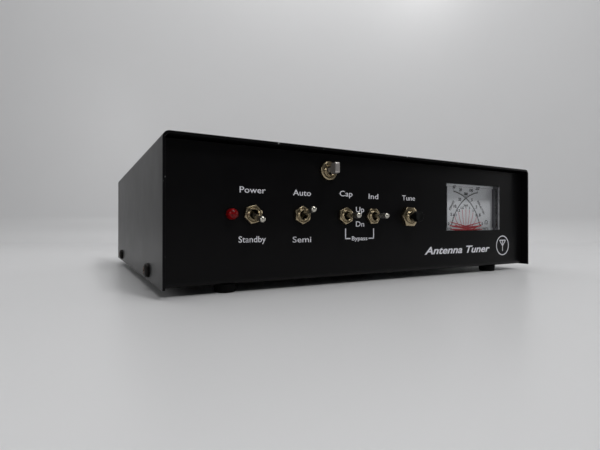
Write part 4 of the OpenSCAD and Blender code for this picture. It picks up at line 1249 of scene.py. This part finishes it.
@dataclass
class SelectorSwitch(ToggleSwitch):
    """The switch with a flat paddle, which throws sideways."""

    paddle_w: float = 5.2
    paddle_t: float = 2.4
    paddle_l: float = 6.0
    paddle_corner: float = 0.8
    paddle_ease: float = 0.25

    def lever(self) -> list:
        """Tail, ball and stem, then a paddle with round corners and eased edges."""
        ball = self.ball_d / 2
        a = np.radians(np.linspace(-62, 55, 18))
        rows = [(0, -self.tail), (0.9, -self.tail), (0.9, -ball * 0.95)]
        rows += list(zip(ball * np.cos(a), ball * np.sin(a)))
        neck = self.reach - self.paddle_l + 0.8
        rows += [(self.waist_r, ball * 0.9 + 0.5), (1.2, neck - 0.8), (0.75, neck), (0, neck)]
        stem = spun(rows, 48)
        edge = rectangle(self.paddle_w, self.paddle_l, self.paddle_corner, 96)
        half, ease = self.paddle_t / 2, self.paddle_ease
        levels = [(0.0, -half), (edge - ease, -half), (edge - 0.07, -half + 0.07), (edge, -half + ease)]
        levels += [(edge, half - ease), (edge - 0.07, half - 0.07), (edge - ease, half), (0.0, half)]
        flat = stacked(levels, 96, closed=False)
        centre = self.reach - self.paddle_l / 2
        paddle = flat.moved(lambda p: np.stack([p[:, 2], p[:, 0], p[:, 1] + centre], -1))
        return [stem, paddle]

    def build_lever(self) -> None:
        """Makes the paddle lever at its pivot, thrown to the left."""
        x, y, z = pivot(self.joint)
        seat = Seat(x, y, z, Facing.FRONT)
        shells = [seat.put(leaned(s, -self.tilt, 1)) for s in self.lever()]
        make("selector_paddle", SATIN_PADDLE, shells, "selector_lever", body="selector_toggle")


@dataclass
class TuneButton:
    """The push button: bushing, nut, cap and stem."""

    thread_d: float = 7.0
    pitch: float = 0.75
    thread_cut: float = 0.28
    out: float = 3.6
    back: float = 5.0
    plate_t: float = 0.8
    stem_d: float = 3.0
    cap_d: float = 6.1
    cap_out: float = 9.0
    cap_l: float = 3.1
    collar_d: float = 5.2
    collar_t: float = 1.0
    collar_gap: float = 0.1
    dish: float = 0.16
    tail: float = 2.0
    wire_d: float = 0.4
    coils: int = 7
    slack: float = 0.02
    body_w: float = 10.0
    body_l: float = 12.6

    def seat(self) -> Seat:
        """The seat on the panel's face, in line with the nut."""
        centre = middle("tune_nut")
        return Seat(centre[0], box_mm("chassis")[0][1], centre[2], Facing.FRONT)

    def bushing(self) -> list:
        """Threaded bushing with a chamfered mouth, and the plate behind it."""
        count, r, bore = 72, self.thread_d / 2, self.stem_d / 2 + 0.05
        levels = [(bore, -self.back), (r - 0.3, -self.back)]
        levels += thread(r, self.thread_cut, self.pitch, -self.back + 0.2, self.out - 0.3, count)
        levels += [(r - 0.34, self.out - 0.15), (r - 0.5, self.out)]
        levels += [(bore + 0.25, self.out), (bore, self.out - 0.25)]
        plate = base_plate(bore, self.body_w, self.body_l, self.back, self.plate_t)
        return [stacked(levels, count), plate]

    def coil(self) -> tuple[Shell, Seat, float]:
        """The return spring about its own axis, its seat and its length.

        The wire's middle goes round a helix whose last turn at each end lies flat: with s from 0 to 1
        along the wire, the height is the length between the end turns times a step of s with eased ends.
        """
        low, high = box_mm("tune_spring")
        wire, turns, sides = self.wire_d / 2, self.coils, 10
        radius, length = (high[0] - low[0]) / 2 - wire, high[1] - low[1]
        s = np.linspace(0, 1, turns * 28 + 1)
        rise = np.clip((s * turns - 1) / (turns - 2), 0, 1) * (length - 4 * wire) + wire
        rise += 2 * wire * (np.clip(s * turns, 0, 1) * 0.5 + np.clip((s - 1) * turns + 1, 0, 1) * 0.5)
        a, b = 2 * math.pi * turns * s[:, None], angles(sides)[None, :]
        reach = radius + wire * np.cos(b)
        points = np.stack([reach * np.cos(a), reach * np.sin(a), rise[:, None] + wire * np.sin(b)], -1)
        count = len(s)
        faces = lattice(count, sides, False, True)
        faces += [list(range(sides)), list(range((count - 1) * sides, count * sides))[::-1]]
        seat = Seat((low[0] + high[0]) / 2, high[1], (low[2] + high[2]) / 2, Facing.FRONT)
        return Shell(points.reshape(-1, 3), faces), seat, length

    def build_spring(self) -> None:
        """Makes the spring and gives it a mesh of its own."""
        shell, seat, length = self.coil()
        piece = make("return_spring", FINISHES["spring_steel"], [seat.put(shell)], "tune_spring")
        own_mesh(piece)

    def build_plunger(self) -> None:
        """Makes the cap with its dished face, and the stem with its collar."""
        r, stem, collar = self.cap_d / 2, self.stem_d / 2, self.collar_d / 2
        inner = -self.back - self.plate_t - self.collar_gap
        end = inner - self.collar_t - self.tail
        cap = self.cap_out - self.cap_l
        dish = [(r * k, self.cap_out - self.dish * (1 - k * k / 0.55)) for k in (0.7, 0.5, 0.3, 0.0)]
        profile = [(0, end), (stem, end), (stem, inner - self.collar_t), (collar, inner - self.collar_t)]
        profile += [(collar, inner), (stem, inner), (stem, cap), (r, cap), (r, self.cap_out), *dish]
        shells = [self.seat().put(turned(profile, 0.3, count=64))]
        make("tune_plunger_cap", FINISHES["button_plastic"], shells, "tune_button", body="tune_plunger")


@dataclass
class Lamp:
    """The round diffused lamp."""

    lens_d: float = 5.0
    out: float = 4.6
    sheet_t: float = 1.2
    flange_t: float = 1.0
    flange_w: float = 0.5

    def build(self) -> None:
        """Makes the lens: a straight barrel under a dome, with a flange behind the panel."""
        centre = middle("status_lamp")
        seat = Seat(centre[0], box_mm("chassis")[0][1], centre[2], Facing.FRONT)
        r = self.lens_d / 2
        rim, ease = r + self.flange_w, 0.1
        high = -self.sheet_t
        low = high - self.flange_t
        a = np.radians(np.linspace(0, 90, 20))
        rows = [(0, low), (rim - ease, low), (rim, low + ease), (rim, high - ease)]
        rows += [(rim - ease, high), (r, high)]
        rows += list(zip(r * np.cos(a), self.out - r + r * np.sin(a)))
        make("lamp_lens", FINISHES["lamp_resin"], [seat.put(spun(rows, 64))], "status_lamp")


@dataclass
class Controls:
    """Every control on the front panel."""

    nut_flats: float = 8.0
    nut_t: float = 2.0
    bore_d: float = 6.4
    nut_turns: tuple = (15.0, 30.0, 24.0, 4.0)
    round_nut_d: float = 9.7
    tilt: float = 11.0
    tune_nut: HexNut = field(default_factory=lambda: HexNut(10.7, 2.2, 7.1, -3.0))

    def switches(self) -> list:
        """The four switches with bat levers, from left to right."""
        leans = {"power": -self.tilt, "auto": self.tilt, "capacitor": 0.0, "inductor": 0.0}
        return [ToggleSwitch(name, name + "_switch", lean) for name, lean in leans.items()]

    def build(self) -> None:
        """Makes bushings, nuts, levers, the button and the lamp."""
        bats, button, lamp = self.switches(), TuneButton(), Lamp()
        selector = SelectorSwitch("selector", "selector_switch", self.tilt)
        shells = [s.put(part) for t in bats for s in (t.seat(),) for part in t.bushing()]
        sideways = [leaned(part, 90, 2) for part in selector.bushing()]
        shells += [selector.seat().put(part) for part in sideways]
        shells += [button.seat().put(part) for part in button.bushing()]
        plated = FINISHES["bushing_nickel"]
        make("threaded_bushings", plated, shells, "switch_bushings")
        nuts = []
        for switch, turn in zip(bats, self.nut_turns):
            nut = HexNut(self.nut_flats, self.nut_t, self.bore_d, turn)
            nuts.append(switch.seat().put(nut.shell()))
        make("toggle_hex_nuts", plated, nuts, "toggle_nuts", bevel=0.1)
        nut = button.seat().put(self.tune_nut.shell())
        make("tune_hex_nut", plated, [nut], "tune_nut", bevel=0.12)
        r, bore = self.round_nut_d / 2, self.bore_d / 2
        ring = [(bore, 0), (r, 0), (r, self.nut_t - 0.45), (r - 0.5, self.nut_t)]
        ring += [(bore + 0.25, self.nut_t), (bore, self.nut_t - 0.25)]
        round_nut = selector.seat().put(turned(ring, 0.12, closed=True, count=72))
        make("selector_round_nut", plated, [round_nut], "selector_nut")
        for switch in (*bats, selector):
            switch.build_lever()
        button.build_plunger()
        button.build_spring()
        lamp.build()


# ---- Meter ------------------------------------------------------------------------------------------


@dataclass
class Meter:
    """Clear front and printed dial. Dial places are from its middle and from the cover's lower edge."""

    scale_r: float = 30.7
    ink_depth: float = 0.02
    line: float = 0.55
    tick: float = 1.5
    cap: float = 1.9
    rest: float = 16.5
    sweep: float = 66.0
    forward_marks: tuple = ("0", "", "5", "", "10", "", "20", "", "50", "", "100", "", "200")
    reflected_marks: tuple = ("0", "", "1", "", "2", "", "5", "", "10", "", "20", "", "50")
    captions: tuple = (
        Legend("FORWARD", -14.9, -7.7, 36.6, 1.7, bold=0.035, lean=56),
        Legend("REFLECTED", 11.2, 22.4, 43.2, 1.5, bold=0.03, lean=-53),
        Legend("WATTS", -20.5, -14.4, 24.1, 1.5, bold=0.025),
        Legend("WATTS", 15.6, 21.6, 24.1, 1.5, bold=0.025),
        Legend("SWR", -2.2, 2.2, 39.6, 1.4, bold=0.03),
    )
    ratios: tuple = ("1.1", "1.2", "1.5", "2", "3", "5", "10")
    fan_top: float = 38.2
    fan_foot: float = 25.6
    fan_half: float = 10.6
    fan_drop: float = 5.4
    fan_gather: float = 0.42
    fan_bow: float = 0.1
    fan_line: float = 0.42
    fan_cap: float = 1.5
    band_half: float = 15.5
    band_lines: tuple = ((0.04, 23.9, 1.5), (0.1, 25.3, 1.7), (0.19, 26.4, 0.8))
    sign: tuple = (20.6, 29.2)

    def dial_seat(self) -> Seat:
        """The dial's face, with x from its middle and z from the cover's lower edge."""
        low, high = box_mm("meter_dial")
        return Seat((low[0] + high[0]) / 2, low[1], box_mm("cover")[0][2], Facing.FRONT)

    def pivots(self) -> tuple:
        """The two needle pivots on the dial's plane, left and right."""
        seat = self.dial_seat()
        left, right = pivot("reflected_swing"), pivot("forward_swing")
        return (left[0] - seat.x, left[2] - seat.z), (right[0] - seat.x, right[2] - seat.z)

    def scale(self, centre: tuple, start: float, step: float, marks: Sequence[str]) -> list:
        """One arc with its ticks, three to a mark, and its numbers.

        Args:
            centre: the needle's pivot on the dial.
            start: angle of the first mark, in degrees.
            step: angle from a mark to the next.
            marks: the numbers, with an empty one for a tick alone.

        Returns:
            The shells, on the XY plane.
        """
        turns = start + step * np.arange(0, len(marks) - 0.99, 1 / 3)
        shells = [stroke(arc(centre, self.scale_r, turns[0], turns[-1]), self.line, self.ink_depth)]
        for i, turn in enumerate(turns):
            way = np.array([math.cos(math.radians(turn)), math.sin(math.radians(turn))])
            foot = np.array(centre) + way * self.scale_r
            mark = marks[i // 3] if i % 3 == 0 else ""
            reach = self.tick if mark else self.tick * 0.5
            shells.append(stroke([foot, foot + way * reach], self.line * 0.55, self.ink_depth))
            if mark:
                spot = foot + way * (self.tick + self.cap * 0.75)
                half = self.cap * 0.34 * len(mark)
                left, right, base = spot[0] - half, spot[0] + half, spot[1] - self.cap / 2
                number = Legend(mark, left, right, base, self.cap, bold=0.045)
                shells.append(number.shell(self.ink_depth))
        return shells

    def coil_sign(self) -> list:
        """The common sign of a moving coil movement: a horseshoe with a bar between its legs."""
        x, z = self.sign
        shoe = np.concatenate([[(x + 1.3, z - 1.6)], arc((x, z), 1.3, 0, 180, 16), [(x - 1.3, z - 1.6)]])
        bar = np.array([(x, z - 1.7), (x, z - 0.1)])
        return [stroke(shoe, 0.5, self.ink_depth), stroke(bar, 0.5, self.ink_depth)]

    def fan(self) -> tuple[list, list]:
        """Standing wave lines that fan out from the lower middle, and the numbers at their tops.

        A line's top lies on a shallow arch, and the line bows outwards by a tenth of its reach.
        """
        lines, numbers = [], []
        for i, text in enumerate(self.ratios):
            share = i / (len(self.ratios) - 1) * 2 - 1
            x, z = self.fan_half * share, self.fan_top - self.fan_drop * share**2
            start, end = np.array([x * self.fan_gather, self.fan_foot]), np.array([x, z])
            t = np.linspace(0, 1, 12)[:, None]
            bow = np.array([x * self.fan_bow, 0.0])
            path = start + (end - start) * t + bow * np.sin(math.pi * t)
            lines.append(stroke(path, self.fan_line, self.ink_depth))
            half = 0.5 * len(text)
            number = Legend(text, x - half, x + half, z + 0.35, self.fan_cap, bold=0.045)
            numbers.append(number.shell(self.ink_depth))
        return lines, numbers

    def bands(self) -> list:
        """Red bands low on the dial: shallow Vs, thickest in their middles.

        Each has its slope, the height of its middle and its thickness.
        """
        x = np.linspace(-self.band_half, self.band_half, 32)
        made = []
        for rise, lift, thick in self.band_lines:
            path = np.stack([x, lift + rise * np.abs(x)], -1)
            made.append(stroke(path, thick * (1.15 - 0.05 * np.abs(x)), self.ink_depth))
        return made

    def build(self) -> None:
        """Prints the dial and eases the window's edges."""
        seat = self.dial_seat()
        left, right = self.pivots()
        step = self.sweep / (len(self.forward_marks) - 1)
        shells = self.scale(right, 180 - self.rest, -step, self.forward_marks)
        shells += self.scale(left, self.rest, step, self.reflected_marks)
        lines, numbers = self.fan()
        shells += numbers + self.coil_sign() + [one.shell(self.ink_depth) for one in self.captions]
        for name, ink, drawn in (("dial_scales", BLACK_INK, shells), ("dial_fan", PINK_INK, lines),
                                 ("dial_band", RED_INK, self.bands())):
            make(name, ink, [seat.put(s) for s in drawn])
        refined("meter_window", "clear_front", 0.25)


# ---- Rear fittings ----------------------------------------------------------------------------------


@dataclass
class RearFittings:
    """Radio sockets, power inlet and ground terminal."""

    flange_w: float = 25.4
    flange_t: float = 2.4
    barrel_d: float = 15.875
    barrel_l: float = 12.5
    barrel_pitch: float = 1.058
    barrel_cut: float = 0.5
    barrel_bore_d: float = 12.4
    insulator_bore_d: float = 5.5
    boss_d: float = 14.6
    boss_l: float = 4.2
    screw_pitch: float = 18.26
    screw: ScrewHead = field(default_factory=lambda: ScrewHead(5.5, 1.9, 3.0, 6.8, 48))
    screw_turns: tuple = (10, 47, 80, 25, 63, 5, 38, 71)
    inlet_thread_d: float = 8.0
    inlet_pitch: float = 0.75
    inlet_cut: float = 0.3
    inlet_bore_d: float = 5.8
    inlet_bore_l: float = 9.0
    inlet_out: float = 5.0
    inlet_body_d: float = 11.0
    inlet_depth: float = 12.0
    inlet_nut_t: float = 2.0
    stud_d: float = 4.0
    stud_pitch: float = 0.7
    stud_cut: float = 0.36
    stud_nut_t: float = 3.2
    sheet_t: float = 1.2

    def seat(self, x: float, z: float) -> Seat:
        """A seat on the rear panel's outer face."""
        return Seat(x, box_mm("chassis")[1][1], z, Facing.REAR)

    def socket_seats(self) -> list:
        """Seats of the antenna and radio sockets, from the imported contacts."""
        low, high = box_mm("rf_socket_bodies")
        z, half = (low[2] + high[2]) / 2, self.flange_w / 2
        return [self.seat(low[0] + half, z), self.seat(high[0] - half, z)]

    def socket_shell(self) -> Shell:
        """Square flange, threaded barrel and the boss behind the panel, as one skin about the bore."""
        count = 120
        square = rectangle(self.flange_w, self.flange_w, 1.0, count)
        r, bore = self.barrel_d / 2, self.barrel_bore_d / 2
        top = self.flange_t + self.barrel_l
        levels = [(bore - 1, -self.boss_l), (self.boss_d / 2, -self.boss_l), (self.boss_d / 2, 0.0)]
        levels += [(square - 0.15, 0.0), (square, 0.15), (square, self.flange_t - 0.25)]
        levels += [(square - 0.25, self.flange_t), (r + 0.4, self.flange_t)]
        levels += [(r - 0.45, self.flange_t + 0.3)]
        levels += thread(r, self.barrel_cut, self.barrel_pitch, self.flange_t + 0.6, top - 0.5, count)
        levels += [(r - 0.7, top), (bore + 0.3, top), (bore, top - 0.3), (bore, 0.0), (bore - 1, 0.0)]
        return stacked(levels, count)

    def insulator_shell(self) -> Shell:
        """The white insulator: a disc in the barrel with a raised collar round the contact."""
        r, hole = self.barrel_bore_d / 2 - 0.05, self.insulator_bore_d / 2
        profile = [(hole, -self.boss_l - 1), (r - 1, -self.boss_l - 1), (r - 1, -1), (r, -1), (r, 4.0)]
        profile += [(r - 0.8, 4.0), (r - 1.1, 3.6), (hole + 1.3, 3.6), (hole + 1.0, 4.0), (hole, 4.0)]
        return turned(profile, 0.12, closed=True, count=72)

    def build_sockets(self) -> None:
        """Makes both sockets with their insulators and flange screws."""
        seats = self.socket_seats()
        bodies = [s.put(self.socket_shell()) for s in seats]
        make("threaded_sockets", FINISHES["socket_nickel"], bodies, "rf_socket_bodies")
        inner = [s.put(self.insulator_shell()) for s in seats]
        make("socket_insulators", FINISHES["socket_insulator"], inner, "rf_socket_insulators")
        half = self.screw_pitch / 2
        turns = iter(self.screw_turns)
        screws = []
        for s in seats:
            for sx, sz in ((-1, -1), (-1, 1), (1, -1), (1, 1)):
                corner = s.shifted(sx * half, sz * half, self.flange_t)
                screws.append(corner.put(self.screw.shell(next(turns))))
        make("socket_screws", FINISHES["zinc_steel"], screws, "rf_socket_screws")

    def build_inlet(self) -> None:
        """Makes the power inlet's threaded body and its nut."""
        centre = middle("power_inlet_nut")
        seat = self.seat(centre[0], centre[2])
        count, r, bore = 84, self.inlet_thread_d / 2, self.inlet_bore_d / 2
        body = self.inlet_body_d / 2
        floor = self.inlet_out - self.inlet_bore_l
        levels = [(0.0, -self.inlet_depth), (body, -self.inlet_depth)]
        levels += [(body, -self.sheet_t), (r - 0.3, -self.sheet_t)]
        levels += thread(r, self.inlet_cut, self.inlet_pitch, 0.2 - self.sheet_t, self.inlet_out - 0.4, count)
        levels += [(r - 0.45, self.inlet_out), (bore + 0.25, self.inlet_out)]
        levels += [(bore, self.inlet_out - 0.25)]
        levels += [(bore, floor), (0.0, floor)]
        shells = [seat.put(stacked(levels, count, closed=False))]
        make("threaded_inlet", FINISHES["black_nylon"], shells, "power_inlet")
        nut = HexNut(self.inlet_thread_d + 3, self.inlet_nut_t, self.inlet_thread_d + 0.1, turn=12.0)
        zinc = FINISHES["zinc_steel"]
        make("inlet_hex_nut", zinc, [seat.put(nut.shell())], "power_inlet_nut", bevel=0.12)

    def build_ground(self) -> None:
        """Makes the ground terminal: threaded stud with its inner head, nut, washer and wing nut."""
        centre = pivot("wing_nut_turn")
        seat = self.seat(centre[0], centre[2])
        end = box_mm("ground_stud")[1][1] - seat.y
        count, r = 60, self.stud_d / 2
        head = self.stud_d
        inner = -self.sheet_t
        levels = [(0.0, inner - 2.6), (head * 0.6, inner - 2.5), (head * 0.92, inner - 1.7)]
        levels += [(head, inner - 0.7), (head, inner), (r - 0.3, inner)]
        levels += thread(r, self.stud_cut, self.stud_pitch, inner + 0.1, end - 0.7, count)
        levels += [(r - 0.4, end - 0.5), (r - 0.8, end), (0.0, end)]
        shells = [seat.put(stacked(levels, count, closed=False))]
        zinc = FINISHES["zinc_steel"]
        make("threaded_stud", zinc, shells, "ground_stud")
        nut = HexNut(self.stud_d + 3, self.stud_nut_t, self.stud_d + 0.1, turn=20.0)
        make("ground_hex_nut", zinc, [seat.put(nut.shell())], "ground_nuts", bevel=0.12)
        low, high = box_mm("ground_washer")
        thick, outer = high[1] - low[1], (high[0] - low[0]) / 2
        loop = [(r + 0.2, 0), (outer, 0), (outer, thick), (r + 0.2, thick)]
        washer = turned(loop, 0.18, closed=True, count=64)
        place = seat.shifted(out=low[1] - seat.y)
        make("flat_washer", zinc, [place.put(washer)], "ground_washer", body="clamp_washer")
        refined("ground_wing_nut", "cast_wing_nut", 0.3)

    def build(self) -> None:
        """Makes everything on the rear panel."""
        self.build_sockets()
        self.build_inlet()
        self.build_ground()


# ---- Inside -----------------------------------------------------------------------------------------


@dataclass
class Windings:
    """Turns of enamelled wire round the four inductor cores, which each have two more than the last."""

    cores: int = 4
    core_d: float = 27.0
    mean_r: float = 10.4
    turn_r: float = 6.9
    wire_d: float = 1.0
    fewest: int = 10
    gap: float = 30.0
    steps: int = 40
    sides: int = 14

    def turn(self, about: float) -> Shell:
        """One round turn, upright on its core.

        A point's reach from the turn's middle is the turn's radius plus the wire's radius times the
        cosine of the angle about the wire, and the turn's plane goes through the core's axis.

        Args:
            about: the angle about the core's axis, in degrees.
        """
        a, b = angles(self.steps)[:, None], angles(self.sides)[None, :]
        reach = self.turn_r + self.wire_d / 2 * np.cos(b)
        out, side = self.mean_r + reach * np.cos(a), self.wire_d / 2 * np.sin(b) + 0 * a
        points = np.stack([out, side, reach * np.sin(a)], -1).reshape(-1, 3)
        return leaned(Shell(points, lattice(self.steps, self.sides, True, True)), about, 2)

    def build(self) -> None:
        """Winds every core."""
        low, high = box_mm("inductor_cores")
        y, z = (low[1] + high[1]) / 2, (low[2] + high[2]) / 2
        shells = []
        half = self.core_d / 2
        for i, x in enumerate(np.linspace(low[0] + half, high[0] - half, self.cores)):
            turns = self.fewest + 2 * i
            for about in np.linspace(self.gap / 2, 360 - self.gap / 2, turns):
                shells.append(self.turn(about).moved(lambda p, x=x: p + np.array([x, y, z])))
        wire = FINISHES["enamelled_copper"]
        make("toroid_windings", wire, shells, "inductor_windings", crease=60)


# ---- The studio -------------------------------------------------------------------------------------


@dataclass(frozen=True)
class SoftLight:
    """A square soft light: where it hangs and what it faces in metres, its side and its watts."""

    name: str
    place: tuple
    aim: tuple
    size: float
    power: float

    def hang(self) -> None:
        """Adds the light to the scene."""
        lamp = bpy.data.lights.new(self.name, "AREA")
        lamp.size, lamp.energy = self.size, self.power
        holder = bpy.data.objects.new(self.name, lamp)
        holder.location = self.place
        way = Vector(self.aim) - Vector(self.place)
        holder.rotation_euler = way.to_track_quat("-Z", "Y").to_euler()
        bpy.context.scene.collection.objects.link(holder)


@dataclass
class Studio:
    """Pale floor that sweeps up into a backdrop, soft lights and the camera."""

    eye: tuple = (-30.19, -170.92, 26.44)
    yaw: float = 28.839
    pitch: float = 0.185
    focal: float = 24.221
    sensor: float = 36.0
    near: float = -2.4
    wall_away: float = 0.45
    wall_top: float = 0.75
    half_width: float = 3.0
    sweep_r: float = 0.05
    dim: float = 0.07
    lights: tuple = (
        SoftLight("key_light", (0.2, -0.95, 1.3), (0.0, -0.1, 0.0), 0.25, 6.9),
        SoftLight("back_light", (-0.25, 0.7, 1.3), (0.0, 0.0, 0.0), 1.0, 3.4),
        SoftLight("left_light", (-1.25, -0.35, 0.5), (-0.1, 0.0, 0.05), 0.5, 2.5),
        SoftLight("wall_light", (0.0, -0.1, 1.1), (0.2, 0.4, 0.22), 0.6, 4.6),
        SoftLight("right_light", (1.3, -0.4, 0.35), (0.1, 0.0, 0.05), 0.5, 1.6),
    )

    def build_floor(self) -> None:
        """Lays the floor and the wall as one swept sheet, which stands square to the camera.

        Its section runs level, turns up through a quarter circle and then stands.
        """
        far, radius = self.wall_away, self.sweep_r
        a = np.radians(np.linspace(-90, 0, 12))
        level = np.stack([np.linspace(self.near, far - radius, 12), np.zeros(12)], -1)
        bend = np.stack([far - radius + radius * np.cos(a), radius + radius * np.sin(a)], -1)
        rise = np.stack([np.full(6, far), np.linspace(radius, self.wall_top, 7)[1:]], -1)
        section = np.concatenate([level, bend[1:], rise])
        across = np.linspace(-self.half_width, self.half_width, 14)
        along, side = np.meshgrid(section[:, 0], across, indexing="ij")
        height = np.repeat(section[:, 1:], len(across), 1)
        c, s = math.cos(math.radians(self.yaw)), math.sin(math.radians(self.yaw))
        grid = np.stack([side * c + along * s, along * c - side * s, height], -1)
        mesh = bpy.data.meshes.new("studio_floor")
        faces = lattice(len(section), len(across), False, False)
        mesh.from_pydata(grid.reshape(-1, 3).tolist(), [], faces)
        mesh.shade_smooth()
        paper = Ink("", (0.72, 0.72, 0.725), (0.7, 0.7, 0.705), (0.3, 0.38), patch=6.0, grain=900.0,
                    bump=0.02, name="studio_paper")
        mesh.materials.append(paper.material())
        floor = bpy.data.objects.new("studio_floor", mesh)
        bpy.context.scene.collection.objects.link(floor)

    def build_lights(self) -> None:
        """Hangs the lights and sets a dim even world."""
        for light in self.lights:
            light.hang()
        world = bpy.data.worlds.new("studio_world")
        world.use_nodes = True
        tree = world.node_tree
        dim = tree.nodes["Background"]
        dim.inputs["Color"].default_value = (0.93, 0.96, 1.0, 1)
        dim.inputs["Strength"].default_value = self.dim
        seen = add_node(tree, "Background", {"Color": (0.42, 0.42, 0.43, 1), "Strength": 1.0})
        straight = add_node(tree, "LightPath").outputs["Is Camera Ray"]
        both = add_node(tree, "MixShader", {0: straight, 1: dim.outputs[0], 2: seen.outputs[0]})
        tree.links.new(both.outputs[0], tree.nodes["World Output"].inputs["Surface"])
        bpy.context.scene.world = world
        bpy.context.scene.view_settings.view_transform = "Standard"

    def build_camera(self) -> None:
        """Sets the camera low in front of the cover's left front corner, turned to the right."""
        low, _ = box_mm("cover")
        data = bpy.data.cameras.new("camera")
        data.lens, data.sensor_width = self.focal, self.sensor
        data.clip_start, data.clip_end = 0.01, 20.0
        camera = bpy.data.objects.new("camera", data)
        camera.location = (Vector(low) + Vector(self.eye)) * MM
        turns = (math.radians(90 + self.pitch), 0.0, -math.radians(self.yaw))
        camera.rotation_euler = Euler(turns, "XYZ")
        bpy.context.scene.collection.objects.link(camera)
        bpy.context.scene.camera = camera

    def build(self) -> None:
        """Sets up the whole studio."""
        self.build_camera()
        self.build_floor()
        self.build_lights()


def main() -> None:
    """Builds the studio, then dresses the tuner from its case inwards."""
    logging.basicConfig(level=logging.INFO, format="%(name)s %(message)s")
    Studio().build()
    dress_nodes()
    Case().build()
    PanelPrint().build()
    Controls().build()
    Meter().build()
    RearFittings().build()
    Windings().build()


if __name__ == "__main__":
    main()
